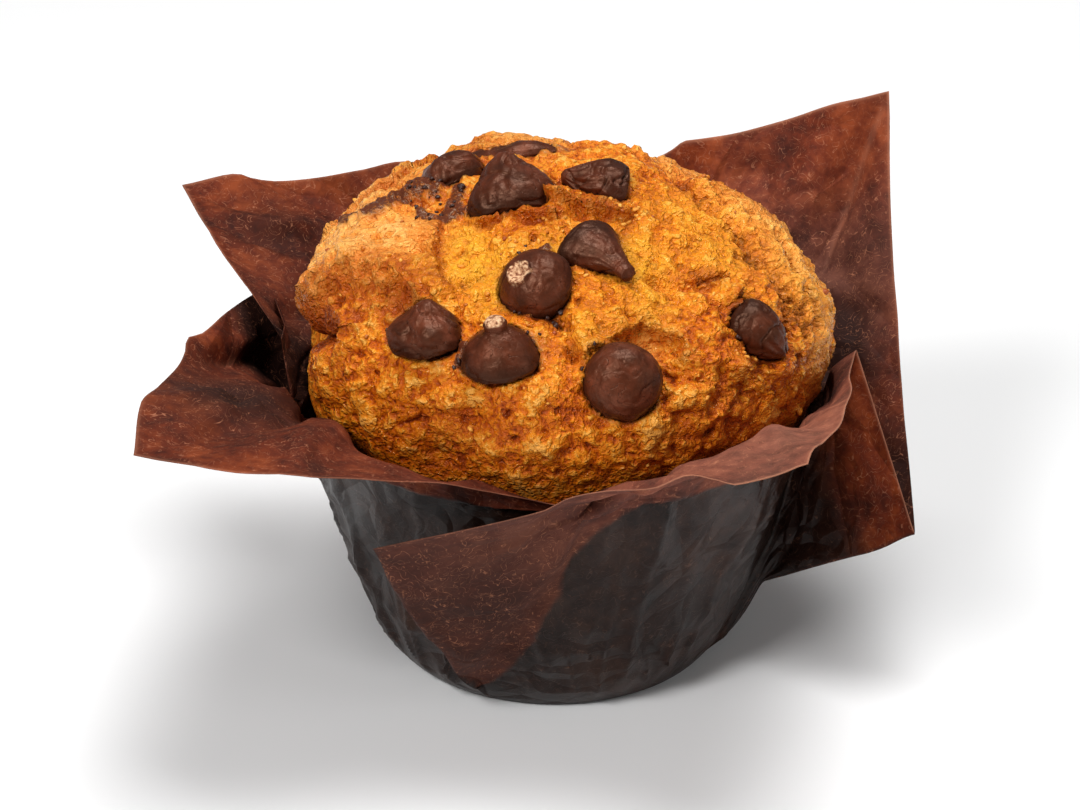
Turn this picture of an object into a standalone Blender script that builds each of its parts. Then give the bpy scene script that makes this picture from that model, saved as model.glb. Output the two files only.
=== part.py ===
"""A chocolate-chip muffin baked in a folded square of brown baking paper.

The paper is one flat square sheet, pressed into a cup with four pleats that fan out from the
base. Its four corners stand free as petals. The muffin fills the cup and domes out over the rim,
and large chocolate chips sit in sockets in its crust.

Lengths below are in millimetres, compass angles in degrees from +X, turning towards +Y.
Shapes are laid out from the dome's own axis, and the finished pieces are moved so that the
origin is the centre of the flat base, which lies a little to the left of it. +Z is up.
"""

import math

import bmesh
import bpy
import numpy as np
from mathutils import Matrix, Vector

MM = 0.001

# The cup that the paper is pressed into.
BASE_RADIUS = 24.5
RIM_RADIUS = 40.0
RIM_HEIGHT = 43.0
FLAT_SHARE = 0.88          # of the base radius that lies flat on the table
BASE_CENTRE = Vector((-1.8, -0.4, 0.0))
RIM_CENTRE = Vector((-0.8, 0.0, 0.0))
WALL_CURVE = 0.62          # below 1 the wall bellies out low down, as a soft cup does
FIT_GAP = 0.35             # left between a chip and the crust
WALL_GAP = 0.55            # left between the muffin and the paper

# The paper.
SHEET_SIDE = 165.0
PAPER_THICKNESS = 0.3
LAYER_STEP = 1.5          # from one layer of a pleat to the next
PLEAT_RISE = 9.0           # up the wall, over which a pleat's layers part
PLEAT_SETTLE = 11.0        # degrees past a pleat in which the outer layer comes back to the wall
OUTER_LAYERS = 2.0         # that a panel's first stretch lies above the wall
INNER_FOLD_LAYERS = 0.5    # how far out the inner fold's own bend lies
OUTER_FOLD_LAYERS = 1.5

# The dough in the cup, and the dome, as two half ellipsoids on one equator.
FOOT_INSET = 3.0           # of the dough's rounded foot from the cup's
FOOT_RISE = 4.0
DOME_RADIUS = 42.5
DOME_EQUATOR = 56.0
DOME_RISE = 22.8
DOME_UNDERCUT = 38.5
DOME_ROOM = 1.6            # from the plain dome to the paper beside it

# Mesh fineness.
PANEL_COLUMNS = (0.0, 0.012, 0.1, 0.2, 0.3, 0.4, 0.5, 0.6, 0.7, 0.8, 0.9, 0.988, 1.0)
# Share of the way over a pleat's middle layer, and how many layers up it is by then.
PLEAT_LAYERS = {0.0: 0.0, 0.04: 0.3, 0.5: 0.5, 0.96: 0.7, 1.0: 1.0}
PAPER_ROWS = 9
DOUGH_SEGMENTS = 58
DOUGH_RINGS = 29


def smooth(low, high, x):
    """0 below low, 1 above high, with an eased ramp between."""
    t = min(max((x - low) / (high - low), 0.0), 1.0)
    return t * t * (3.0 - 2.0 * t)


def mix(a, b, t):
    return a + (b - a) * t


def compass(angle, radius=1.0, z=0.0):
    a = math.radians(angle)
    return Vector((radius * math.cos(a), radius * math.sin(a), z))


# ---------------------------------------------------------------------------
# Cup wall
# ---------------------------------------------------------------------------


def cup_radius(z):
    """Inner radius of the cup at height z. Above the rim it goes on at the rim's slope."""
    if z <= RIM_HEIGHT:
        return BASE_RADIUS + (RIM_RADIUS - BASE_RADIUS) * (max(z, 0.0) / RIM_HEIGHT) ** WALL_CURVE
    slope = (RIM_RADIUS - BASE_RADIUS) / RIM_HEIGHT * WALL_CURVE
    return RIM_RADIUS + slope * (z - RIM_HEIGHT)


def wall_table(steps=400):
    """Heights and the distances along the wall from the base edge up to them."""
    z = RIM_HEIGHT * (np.linspace(0.0, 1.0, steps) ** 2)
    r = BASE_RADIUS + (RIM_RADIUS - BASE_RADIUS) * (z / RIM_HEIGHT) ** WALL_CURVE
    s = np.concatenate(([0.0], np.cumsum(np.hypot(np.diff(z), np.diff(r)))))
    return s, z


WALL_S, WALL_Z = wall_table()
RIM_S = float(WALL_S[-1])
FREE_RISE = 0.97           # height gained for each length of the wall's line above the rim


def wall_height(s):
    """Height reached after s along the wall from the base edge."""
    if s <= RIM_S:
        return float(np.interp(s, WALL_S, WALL_Z))
    return RIM_HEIGHT + (s - RIM_S) * FREE_RISE


def cup_axis(z):
    """Point of the cup's axis, which leans from the base's centre to the rim's."""
    return BASE_CENTRE.lerp(RIM_CENTRE, min(z / RIM_HEIGHT, 1.0))


def cup_point(angle, radius, z):
    return compass(angle, radius, z) + cup_axis(z)


def wall_point(angle, s):
    z = wall_height(s)
    return cup_point(angle, cup_radius(z) + PAPER_THICKNESS / 2, z + PAPER_THICKNESS / 2)


# ---------------------------------------------------------------------------
# Paper: four panels, each with a corner of the sheet, and four pleats between them
# ---------------------------------------------------------------------------


FREE_FROM = RIM_S - 1.0    # how far up the wall a panel comes free of it
LARGEST_HOLD = 0.45        # share of a panel that its wing may take up at most


class Panel:
    """One quarter of the sheet, from a pleat's outer fold round its corner to the next pleat.

    start and end are the compass angles, at the base and at the rim, of its first and last fold.
    leave is how far up the wall its first fold stands off from it, as a wing that is drawn
    straight round to the cup. bend is how gently the free part turns outwards over the rim.
    edge is its free edge: (share of the way round, x, y, z).
    """

    def __init__(self, start, end, leave, bend, edge):
        self.start = start
        self.end = end
        self.leave = leave
        self.bend = bend
        self.shares = [e[0] for e in edge]
        self.points = [Vector(e[1:]) for e in edge]

    def angle(self, f, s):
        up = min(s / RIM_S, 1.3)
        first = mix(self.start[0], self.start[1], up)
        last = mix(self.end[0], self.end[1], up)
        return mix(first, last, f)

    def edge(self, f):
        """Point of the free edge: a smooth curve through its points, broken at the corner."""
        xs = self.shares
        i = max(j for j in range(len(xs) - 1) if xs[j] <= f)
        gap = xs[i + 1] - xs[i]
        t = (f - xs[i]) / gap
        a, b = self.points[i], self.points[i + 1]
        slope_a = slope_b = (b - a) / gap
        if i > 0 and xs[i] != 0.5:
            slope_a = (b - self.points[i - 1]) / (xs[i + 1] - xs[i - 1])
        if i + 2 < len(xs) and xs[i + 1] != 0.5:
            slope_b = (self.points[i + 2] - a) / (xs[i + 2] - xs[i])
        return (
            a * (2 * t**3 - 3 * t**2 + 1) + slope_a * gap * (t**3 - 2 * t**2 + t)
            + b * (3 * t**2 - 2 * t**3) + slope_b * gap * (t**3 - t**2)
        )

    def strip(self, f, s, leave, bend):
        """Point s along one strip of paper, up the wall and then out to the free edge."""
        if s <= leave:
            return wall_point(self.angle(f, s), s)
        root = wall_point(self.angle(f, leave), leave)
        rise = root - wall_point(self.angle(f, leave - 1.0), leave - 1.0)
        tip = self.edge(f)
        turn = root.lerp(tip, 0.5)
        if bend:
            turn = root + rise.normalized() * (tip - root).length * bend
        u = (s - leave) / (panel_reach(f) - leave)
        return root * (1 - u) ** 2 + turn * (2 * u * (1 - u)) + tip * u * u

    def hold(self, s):
        """Share of the way round at which the paper drawn from the first fold meets the cup."""
        fold = self.strip(0.0, s, self.leave, 0.0)
        away = (fold - cup_axis(fold.z)).xy.length
        room = cup_radius(min(fold.z, RIM_HEIGHT)) + PAPER_THICKNESS / 2
        if away <= room + 0.01:
            return 0.0
        swing = math.degrees(math.acos(room / away))
        return min(swing / (self.angle(1.0, s) - self.angle(0.0, s)), LARGEST_HOLD)

    def drawn(self, g, s, hold):
        """Point at share g of the straight way from the first fold to where the panel holds."""
        fold = self.strip(0.0, s, self.leave, 0.0)
        return fold.lerp(self.strip(hold, s, FREE_FROM, self.bend), g)

    def point(self, f, t):
        """Point at share t of the way out on the sheet, at share f of the way round."""
        s = t * panel_reach(f)
        hold = self.hold(s)
        if f >= hold:
            return self.strip(f, s, FREE_FROM, self.bend)
        g = f / hold
        end = self.hold(panel_reach(f))
        stray = self.edge(end * g) - self.drawn(g, panel_reach(end * g), end)
        return self.drawn(g, s, hold) + stray * t * t


def keep_off(p):
    """Move p outwards, level, to where it clears the cup's wall and the dome."""
    away = p - cup_axis(p.z)
    away.z = 0.0
    room = cup_radius(p.z)
    if p.z > RIM_HEIGHT:
        tall = DOME_RISE if p.z > DOME_EQUATOR else DOME_UNDERCUT
        high = min((p.z - DOME_EQUATOR) / tall, 1.0)
        room = max(room, DOME_RADIUS * math.sqrt(1.0 - high * high) + DOME_ROOM)
    room += PAPER_THICKNESS / 2
    return p + away.normalized() * max(room - away.length, 0.0)


PANELS = [
    Panel(  # back right, its first fold standing off as a wing on the right
        start=(-13.0, -15.0), end=(62.0, 104.0), leave=15.0, bend=0.12,
        edge=(
            (0.0, 53.4, -20.0, 28.0), (0.13, 53.2, -4.0, 36.5), (0.25, 53.3, 11.0, 45.0),
            (0.38, 53.2, 28.0, 60.0), (0.5, 54.2, 40.0, 79.0), (0.6, 39.5, 44.0, 74.0),
            (0.7, 28.0, 45.5, 70.2), (0.76, 20.5, 46.0, 69.0), (0.83, 14.0, 46.5, 64.5),
            (1.0, -10.0, 46.0, 51.0),
        ),
    ),
    Panel(  # back left
        start=(72.0, 76.0), end=(152.0, 185.0), leave=30.0, bend=0.15,
        edge=(
            (0.0, 12.5, 50.5, 47.5), (0.25, -27.0, 50.0, 62.0), (0.35, -41.5, 50.0, 57.4),
            (0.44, -56.0, 50.0, 60.6), (0.5, -65.0, 48.0, 58.5), (0.65, -58.4, 32.0, 54.6),
            (0.83, -51.2, 15.0, 52.0), (1.0, -43.5, -2.0, 52.5),
        ),
    ),
    Panel(  # front left
        start=(162.0, 154.0), end=(228.0, 271.0), leave=34.0, bend=0.15,
        edge=(
            (0.0, -50.0, 25.0, 44.0), (0.11, -53.0, 16.5, 48.6), (0.23, -58.4, -5.0, 52.4),
            (0.29, -59.0, -14.0, 52.6), (0.42, -64.5, -34.0, 57.0), (0.5, -64.0, -46.0, 54.5),
            (0.62, -47.5, -53.0, 54.6), (0.79, -24.5, -50.0, 53.0), (0.88, -12.8, -45.5, 48.5),
            (1.0, 3.0, -43.2, 44.0),
        ),
    ),
    Panel(  # front right, its first fold standing off as the flap across the front
        start=(239.0, 236.0), end=(336.0, 360.0), leave=2.0, bend=0.15,
        edge=(
            (0.0, -28.6, -47.0, 39.6), (0.11, -14.3, -50.0, 45.9), (0.25, 4.5, -51.5, 51.3),
            (0.36, 17.6, -57.0, 56.8), (0.42, 23.7, -63.0, 58.2), (0.5, 35.0, -60.0, 60.0),
            (0.64, 39.7, -44.0, 58.2), (0.74, 42.6, -32.0, 56.8), (0.85, 43.6, -18.0, 53.5),
            (1.0, 46.2, 0.0, 50.1),
        ),
    ),
]

PLEAT_HALF_ANGLE = 11.0    # of a pleat's middle layer, on the flat sheet


def sheet_reach(angle):
    """From the base edge to the free edge of the flat square sheet, at an angle on it."""
    a = math.radians(angle)
    return SHEET_SIDE / 2 / max(abs(math.cos(a)), abs(math.sin(a))) - BASE_RADIUS


def panel_reach(f):
    """The same at share f of a panel, whose corner is at its middle."""
    return sheet_reach(mix(PLEAT_HALF_ANGLE, 90.0 - PLEAT_HALF_ANGLE, f))


def lifted(p, layers, s):
    """p pushed out by so many layers of a pleat, which part over the foot of the wall."""
    side = Vector((p.x, p.y, 0.0)).normalized()
    return p + side * layers * LAYER_STEP * smooth(0.0, PLEAT_RISE, s)


def panel_point(k, f, t):
    """Point of panel k, which starts over the two other layers of the pleat before it."""
    s = t * panel_reach(f)
    here = PANELS[k].angle(f, s)
    under = PANELS[k - 1].angle(1.0, s) - (360.0 if k == 0 else 0.0)
    layers = OUTER_LAYERS * (1.0 - smooth(under + 1.0, under + PLEAT_SETTLE, here))
    if f == 0.0:
        layers = OUTER_FOLD_LAYERS
    if f == 1.0:
        layers = INNER_FOLD_LAYERS
    return lifted(keep_off(PANELS[k].point(f, t)), layers, s)


def pleat_point(k, q, t):
    """Point on the middle layer of the pleat before panel k: q is 0 at its inner fold."""
    inner = PANELS[k - 1].point(1.0, t)
    outer = PANELS[k].point(0.0, t)
    layers = INNER_FOLD_LAYERS + PLEAT_LAYERS[q]
    return lifted(keep_off(inner.lerp(outer, q)), layers, t * panel_reach(0.0))


def paper_columns():
    """(panel, share, is a pleat) for each column of the sheet, in order round it."""
    columns = []
    for k in range(4):
        columns += [(k, q, True) for q in PLEAT_LAYERS if q < 1.0]
        columns += [(k, f, False) for f in PANEL_COLUMNS[:-1]]
    return columns


def paper_point(column, t):
    """Point of the pressed and pleated sheet at share t between its base and its free edge."""
    k, share, pleat = column
    return pleat_point(k, share, t) if pleat else panel_point(k, share, t)


def make_paper(material):
    """A flat round of rings and spokes is folded, row by row, into the pleated cup."""
    columns = paper_columns()
    rings = 1 + PAPER_ROWS
    bm = bmesh.new()
    spoke = [bm.verts.new((r, 0.0, 0.0)) for r in range(rings + 2)]
    edges = [bm.edges.new(pair) for pair in zip(spoke, spoke[1:])]
    bmesh.ops.spin(
        bm, geom=spoke + edges, cent=(0, 0, 0), axis=(0, 0, 1),
        angle=math.tau, steps=len(columns), use_merge=True,
    )
    bmesh.ops.remove_doubles(bm, verts=bm.verts, dist=1e-4)
    floor = PAPER_THICKNESS / 2
    for v in bm.verts:
        ring = round(v.co.xy.length)
        turn = math.atan2(v.co.y, v.co.x) % math.tau
        column = columns[round(turn / math.tau * len(columns)) % len(columns)]
        if ring == 0:
            v.co = BASE_CENTRE + Vector((0.0, 0.0, floor))
        elif ring == 1:
            v.co = BASE_CENTRE.lerp(paper_point(column, 0.0), FLAT_SHARE)
            v.co.z = floor
        else:
            v.co = paper_point(column, (ring - 2) / PAPER_ROWS)
    bmesh.ops.recalc_face_normals(bm, faces=bm.faces)
    bmesh.ops.scale(bm, vec=(MM, MM, MM), verts=bm.verts)
    ob = add_object("paper_case", bm, material)
    solid = ob.modifiers.new("Thickness", "SOLIDIFY")
    solid.thickness = PAPER_THICKNESS * MM
    solid.offset = 0.0
    solid.use_quality_normals = True
    return ob


# ---------------------------------------------------------------------------
# Dough
# ---------------------------------------------------------------------------


def dome_point(angle, rise):
    """Point of the plain dome, rise degrees above its equator (or below it)."""
    a = math.radians(rise)
    tall = DOME_RISE if rise >= 0.0 else DOME_UNDERCUT
    return compass(angle, DOME_RADIUS * math.cos(a), DOME_EQUATOR + tall * math.sin(a))


def dome_normal(p):
    tall = DOME_RISE if p.z >= DOME_EQUATOR else DOME_UNDERCUT
    return Vector(
        (p.x / DOME_RADIUS**2, p.y / DOME_RADIUS**2, (p.z - DOME_EQUATOR) / tall**2)
    ).normalized()


# Swellings and hollows of the crust: compass angle, rise, spread, height.
SWELLS = (
    (200.0, 34.0, 8.0, 1.8),      # upper lobe on the left
    (224.0, -4.0, 9.0, 1.2),      # lower lobe, under the crack
    (262.0, 4.0, 12.0, 1.0),
    (300.0, 8.0, 9.0, 0.8),
    (190.0, -8.0, 8.0, -1.0),
    (128.0, 62.0, 8.0, 3.0),      # hump at the top left
    (70.0, 74.0, 6.0, 1.2),
    (40.0, 40.0, 12.0, 1.0),
    (348.0, 24.0, 10.0, 0.9),
    (120.0, 20.0, 12.0, 1.6),
    (95.0, 35.0, 8.0, -1.4),
    (290.0, 30.0, 4.0, -1.8),     # dent behind the front chip
    (222.0, 56.0, 5.0, -1.2),
    (310.0, 42.0, 6.0, -0.8),
    (20.0, 10.0, 8.0, -1.0),
)

# Cracks: width, depth, then the compass angle and rise of each point.
CRACKS = (
    (2.6, 5.0, (186.0, 2.0), (197.0, 6.5), (213.0, 15.0), (229.0, 20.0)),
    (1.8, 2.0, (300.0, 50.0), (314.0, 42.0), (310.0, 22.0)),
    (2.2, 2.4, (60.0, 30.0), (85.0, 46.0), (120.0, 44.0)),
)


RELIEF_STARTS = -19.0      # rise on the dome at which the lumps begin
RELIEF_FULL = -6.0


def segment_distance(p, a, b):
    along = b - a
    t = min(max((p - a).dot(along) / along.length_squared, 0.0), 1.0)
    return (p - a - along * t).length


def dough_relief(p):
    """Height of the lumps and cracks over the plain dome at its point p."""
    height = 0.0
    for angle, rise, spread, tall in SWELLS:
        away = (p - dome_point(angle, rise)).length
        height += tall * math.exp(-0.5 * (away / spread) ** 2)
    for width, depth, *route in CRACKS:
        points = [dome_point(*place) for place in route]
        away = min(segment_distance(p, a, b) for a, b in zip(points, points[1:]))
        height -= depth * math.exp(-((away / width) ** 2))
    return height


def crust_point(angle, rise):
    p = dome_point(angle, rise)
    return p + dome_normal(p) * dough_relief(p) * smooth(RELIEF_STARTS, RELIEF_FULL, rise)


LOW_RISE = math.degrees(-math.asin((DOME_EQUATOR - RIM_HEIGHT) / DOME_UNDERCUT))
FLOOR_LATITUDE = -74.0     # of a round ball: below it is the floor, from it the wall
RIM_LATITUDE = -42.0       # and from this one the dome
WALL_SPACING = 1.3         # above 1 the rings on the wall are closer together low down
RIM_BLEND = 0.16           # share of the dome over which it comes in to meet the rim


def dough_point(direction):
    """Where a point of a round ball of dough ends up: the cup's floor, its wall or the dome."""
    latitude = math.degrees(math.asin(max(-1.0, min(1.0, direction.z))))
    angle = math.degrees(math.atan2(direction.y, direction.x))
    floor = PAPER_THICKNESS + FIT_GAP
    floor_radius = cup_radius(floor) - FOOT_INSET
    if latitude < FLOOR_LATITUDE:
        share = (latitude + 90.0) / (FLOOR_LATITUDE + 90.0)
        return cup_point(angle, floor_radius * share, floor)
    if latitude < RIM_LATITUDE:
        up = (latitude - FLOOR_LATITUDE) / (RIM_LATITUDE - FLOOR_LATITUDE)
        z = mix(floor, RIM_HEIGHT, up**WALL_SPACING)
        inset = WALL_GAP + FOOT_INSET * (1.0 - smooth(0.0, FOOT_RISE, z - floor))
        return cup_point(angle, cup_radius(z) - inset, z)
    up = (latitude - RIM_LATITUDE) / (90.0 - RIM_LATITUDE)
    p = crust_point(angle, mix(LOW_RISE, 90.0, up))
    rim = cup_point(angle, RIM_RADIUS - WALL_GAP, RIM_HEIGHT)
    return p + (rim - crust_point(angle, LOW_RISE)) * (1.0 - smooth(0.0, RIM_BLEND, up))


def make_dough(material):
    bm = bmesh.new()
    bmesh.ops.create_uvsphere(
        bm, u_segments=DOUGH_SEGMENTS, v_segments=DOUGH_RINGS, radius=1.0
    )
    for v in bm.verts:
        v.co = dough_point(v.co.normalized()) * MM
    bmesh.ops.recalc_face_normals(bm, faces=bm.faces)
    return add_object("muffin", bm, material)


# ---------------------------------------------------------------------------
# Chips
# ---------------------------------------------------------------------------

# Each chip: compass angle and rise of its place, radius, height as a share of it, the compass
# angle that its tip leans to, its lean from the crust's normal, and how far its middle stands out.
CHIPS = (
    (106.0, 66.0, 5.0, 2.3, 0.0, 88.0, -2.6),
    (165.0, 64.0, 5.8, 1.1, 200.0, 40.0, 0.2),
    (211.0, 77.0, 6.6, 1.5, 100.0, 55.0, 1.2),
    (345.0, 82.0, 5.6, 1.4, 350.0, 68.0, 0.6),
    (284.0, 59.0, 5.3, 1.6, 300.0, 70.0, 1.2),
    (259.5, 50.5, 6.1, 1.2, 200.0, 30.0, 1.0),
    (254.5, 30.0, 5.7, 1.4, 100.0, 35.0, 1.4),
    (234.5, 31.5, 5.2, 1.3, 40.0, 40.0, 1.0),
    (282.0, 18.8, 6.6, 1.0, 282.0, 10.0, 1.6),
    (318.5, 25.5, 5.9, 1.6, 330.0, 70.0, 0.6),
    (72.0, 22.0, 6.2, 1.3, 60.0, 40.0, 0.8),
    (100.0, 14.0, 6.4, 1.2, 80.0, 30.0, 1.0),
    (126.0, 6.0, 6.0, 1.4, 20.0, 60.0, 0.8),
    (40.0, 6.0, 6.1, 1.3, 60.0, 50.0, 0.6),
)

CHIP_SIDES = 10
CHIP_MIDDLE = 0.4          # share of a chip's height that lies below its middle
CHIP_SINK = 1.5            # of every chip's middle under the crust, before its own stand
# The drop's outline as shares of its radius and height, from the flat back to the tip.
CHIP_OUTLINE = (
    (0.0, 0.0), (0.62, 0.0), (0.9, 0.1), (1.0, 0.28), (0.93, 0.48), (0.7, 0.7), (0.38, 0.87),
    (0.14, 0.97), (0.0, 1.0),
)


def chip_place(angle, rise, lean_to, lean, stand):
    """Matrix that sets a drop, made upright on its own middle, into the crust."""
    p = crust_point(angle, rise)
    out = dome_normal(dome_point(angle, rise))
    towards = compass(lean_to)
    towards = (towards - out * towards.dot(out)).normalized()
    tip = out * math.cos(math.radians(lean)) + towards * math.sin(math.radians(lean))
    side = tip.cross(out).normalized()
    turn = Matrix((side, tip.cross(side), tip)).transposed().to_4x4()
    return Matrix.Translation((p + out * (stand - CHIP_SINK)) * MM) @ turn


def drop_mesh(radius, height, grow):
    """A drop of chocolate, turned about Z with its middle at the origin, grown all over."""
    bm = bmesh.new()
    low = -height * CHIP_MIDDLE
    points = [bm.verts.new((radius * r, 0.0, low + height * h)) for r, h in CHIP_OUTLINE]
    edges = [bm.edges.new(pair) for pair in zip(points, points[1:])]
    bmesh.ops.spin(
        bm, geom=points + edges, cent=(0, 0, 0), axis=(0, 0, 1),
        angle=math.tau, steps=CHIP_SIDES, use_merge=True,
    )
    bmesh.ops.remove_doubles(bm, verts=bm.verts, dist=1e-4)
    bmesh.ops.recalc_face_normals(bm, faces=bm.faces)
    bm.normal_update()
    places = [v.co + v.normal * grow for v in bm.verts]
    for v, place in zip(bm.verts, places):
        v.co = place * MM
    return bm


def make_chips(dough, material):
    """Each chip, and the socket that it leaves in the crust."""
    for number, (angle, rise, radius, tall, lean_to, lean, stand) in enumerate(CHIPS, 1):
        place = chip_place(angle, rise, lean_to, lean, stand)
        chip = drop_mesh(radius, radius * tall, 0.0)
        bmesh.ops.transform(chip, matrix=place, verts=chip.verts)
        add_object(f"chip_{number:02d}", chip, material)
        hole = drop_mesh(radius, radius * tall, FIT_GAP)
        bmesh.ops.transform(hole, matrix=place, verts=hole.verts)
        cutter = add_object(f"socket_{number:02d}", hole, material)
        cutter.hide_render = True
        cutter.display_type = "WIRE"
        cut = dough.modifiers.new(f"Socket {number:02d}", "BOOLEAN")
        cut.operation = "DIFFERENCE"
        cut.object = cutter


# ---------------------------------------------------------------------------
# Objects and materials
# ---------------------------------------------------------------------------


def make_material(name, colour, roughness):
    mat = bpy.data.materials.new(name)
    mat.use_nodes = True
    shader = mat.node_tree.nodes["Principled BSDF"]
    shader.inputs["Base Color"].default_value = (*colour, 1.0)
    shader.inputs["Roughness"].default_value = roughness
    shader.inputs["Metallic"].default_value = 0.0
    return mat


def add_object(name, bm, material):
    bmesh.ops.translate(bm, vec=-BASE_CENTRE * MM, verts=bm.verts)
    mesh = bpy.data.meshes.new(name)
    bm.to_mesh(mesh)
    bm.free()
    mesh.shade_smooth()
    mesh.materials.append(material)
    ob = bpy.data.objects.new(name, mesh)
    bpy.context.scene.collection.objects.link(ob)
    return ob


def main():
    for ob in list(bpy.data.objects):
        bpy.data.objects.remove(ob, do_unlink=True)
    crust = make_material("crust", (0.55, 0.25, 0.06), 0.6)
    paper = make_material("baking paper", (0.10, 0.035, 0.022), 0.65)
    chocolate = make_material("chocolate", (0.06, 0.022, 0.014), 0.4)
    make_paper(paper)
    dough = make_dough(crust)
    make_chips(dough, chocolate)


main()
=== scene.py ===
"""Looks of a chocolate-chip muffin in a folded square of brown baking paper.

Lengths are in millimetres and compass angles in degrees from +X, turning towards +Y. Shapes are
laid out from the dome's own axis, as in the CAD, and each finished mesh is moved so that the
origin is the centre of the flat base. "Rise" is the angle up the dome from its equator.
"""

import math
import random

import bmesh
import bpy
import numpy as np
from mathutils import Matrix, Vector, noise

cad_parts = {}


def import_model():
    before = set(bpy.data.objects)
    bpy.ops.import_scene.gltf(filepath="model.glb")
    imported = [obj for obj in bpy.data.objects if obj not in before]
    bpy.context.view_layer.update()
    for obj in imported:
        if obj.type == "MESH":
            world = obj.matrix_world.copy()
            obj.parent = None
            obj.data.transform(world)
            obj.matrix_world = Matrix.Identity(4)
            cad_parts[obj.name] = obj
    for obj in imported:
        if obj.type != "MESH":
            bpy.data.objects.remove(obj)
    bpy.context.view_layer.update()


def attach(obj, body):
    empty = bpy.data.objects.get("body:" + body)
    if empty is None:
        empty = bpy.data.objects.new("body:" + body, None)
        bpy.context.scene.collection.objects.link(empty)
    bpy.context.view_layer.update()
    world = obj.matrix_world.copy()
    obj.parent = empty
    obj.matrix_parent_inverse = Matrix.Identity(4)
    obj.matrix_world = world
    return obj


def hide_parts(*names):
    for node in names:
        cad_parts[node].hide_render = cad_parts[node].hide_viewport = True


MM = 0.001

# ---------------------------------------------------------------------------
# Driving dimensions, the same as the CAD's
# ---------------------------------------------------------------------------

BASE_RADIUS = 24.5
RIM_RADIUS = 40.0
RIM_HEIGHT = 43.0
FLAT_SHARE = 0.88          # of the base radius that lies flat on the table
BASE_CENTRE = Vector((-1.8, -0.4, 0.0))
RIM_CENTRE = Vector((-0.8, 0.0, 0.0))
WALL_CURVE = 0.62          # below 1 the wall bellies out low down, as a soft cup does
CAD_PAPER = 0.3            # the CAD's paper thickness, on whose middle the sheet lies

SHEET_SIDE = 165.0
LAYER_STEP = 1.5           # from one layer of a pleat to the next
PLEAT_RISE = 9.0           # up the wall, over which a pleat's layers part
PLEAT_SETTLE = 11.0        # degrees past a pleat in which the outer layer comes back to the wall
OUTER_LAYERS = 2.0         # that a panel's first stretch lies above the wall
INNER_FOLD_LAYERS = 0.5    # how far out the inner fold's own bend lies
PLEAT_HALF_ANGLE = 11.0    # of a pleat's middle layer, on the flat sheet

DOME_RADIUS = 42.5
DOME_EQUATOR = 56.0
DOME_RISE = 22.8
DOME_UNDERCUT = 38.5
DOME_ROOM = 1.6            # from the plain dome to the paper beside it
WALL_GAP = 0.55            # left between the muffin and the paper

SHEET = 0.14               # thickness of the baking paper as it shows
PAPER_ROWS = 96
PANEL_STEPS = 85
DOUGH_CUTS = 128           # across each face of the cube that the dough starts from


def smooth(low, high, x):
    """0 below low, 1 above high, with an eased ramp between. Takes numbers or arrays."""
    t = (x - low) / (high - low)
    t = min(max(t, 0.0), 1.0) if isinstance(t, float) else np.clip(t, 0.0, 1.0)
    return t * t * (3.0 - 2.0 * t)


def mix(a, b, t):
    return a + (b - a) * t


def compass(angle, radius=1.0, z=0.0):
    a = math.radians(angle)
    return Vector((radius * math.cos(a), radius * math.sin(a), z))


def ridged(place):
    """0 to 1, with sharp crests where plain noise passes through its middle."""
    return 1.0 - min(abs(noise.noise(place)) * 2.2, 1.0)


# ---------------------------------------------------------------------------
# Cup wall, as in the CAD
# ---------------------------------------------------------------------------


def cup_radius(z):
    """Inner radius of the cup at height z. Above the rim it goes on at the rim's slope."""
    if z <= RIM_HEIGHT:
        return BASE_RADIUS + (RIM_RADIUS - BASE_RADIUS) * (max(z, 0.0) / RIM_HEIGHT) ** WALL_CURVE
    slope = (RIM_RADIUS - BASE_RADIUS) / RIM_HEIGHT * WALL_CURVE
    return RIM_RADIUS + slope * (z - RIM_HEIGHT)


def wall_table(steps=400):
    """Heights and the distances along the wall from the base edge up to them."""
    z = RIM_HEIGHT * (np.linspace(0.0, 1.0, steps) ** 2)
    r = BASE_RADIUS + (RIM_RADIUS - BASE_RADIUS) * (z / RIM_HEIGHT) ** WALL_CURVE
    s = np.concatenate(([0.0], np.cumsum(np.hypot(np.diff(z), np.diff(r)))))
    return s, z


WALL_S, WALL_Z = wall_table()
RIM_S = float(WALL_S[-1])
FREE_RISE = 0.97           # height gained for each length of the wall's line above the rim
FREE_FROM = RIM_S - 1.0    # how far up the wall a panel comes free of it
LARGEST_HOLD = 0.45        # share of a panel that its wing may take up at most


def wall_height(s):
    """Height reached after s along the wall from the base edge."""
    if s <= RIM_S:
        return float(np.interp(s, WALL_S, WALL_Z))
    return RIM_HEIGHT + (s - RIM_S) * FREE_RISE


def cup_axis(z):
    """Point of the cup's axis, which leans from the base's centre to the rim's."""
    return BASE_CENTRE.lerp(RIM_CENTRE, min(z / RIM_HEIGHT, 1.0))


def cup_point(angle, radius, z):
    return compass(angle, radius, z) + cup_axis(z)


def wall_point(angle, s):
    z = wall_height(s)
    return cup_point(angle, cup_radius(z) + CAD_PAPER / 2, z + CAD_PAPER / 2)


def keep_off(p):
    """Move p outwards, level, to where it clears the cup's wall and the dome."""
    away = p - cup_axis(p.z)
    away.z = 0.0
    room = cup_radius(p.z)
    if p.z > RIM_HEIGHT:
        tall = DOME_RISE if p.z > DOME_EQUATOR else DOME_UNDERCUT
        high = min((p.z - DOME_EQUATOR) / tall, 1.0)
        room = max(room, DOME_RADIUS * math.sqrt(1.0 - high * high) + DOME_ROOM)
    room += CAD_PAPER / 2
    return p + away.normalized() * max(room - away.length, 0.0)


# ---------------------------------------------------------------------------
# Paper: four panels, each with a corner of the sheet, and four pleats between them
# ---------------------------------------------------------------------------


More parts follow.
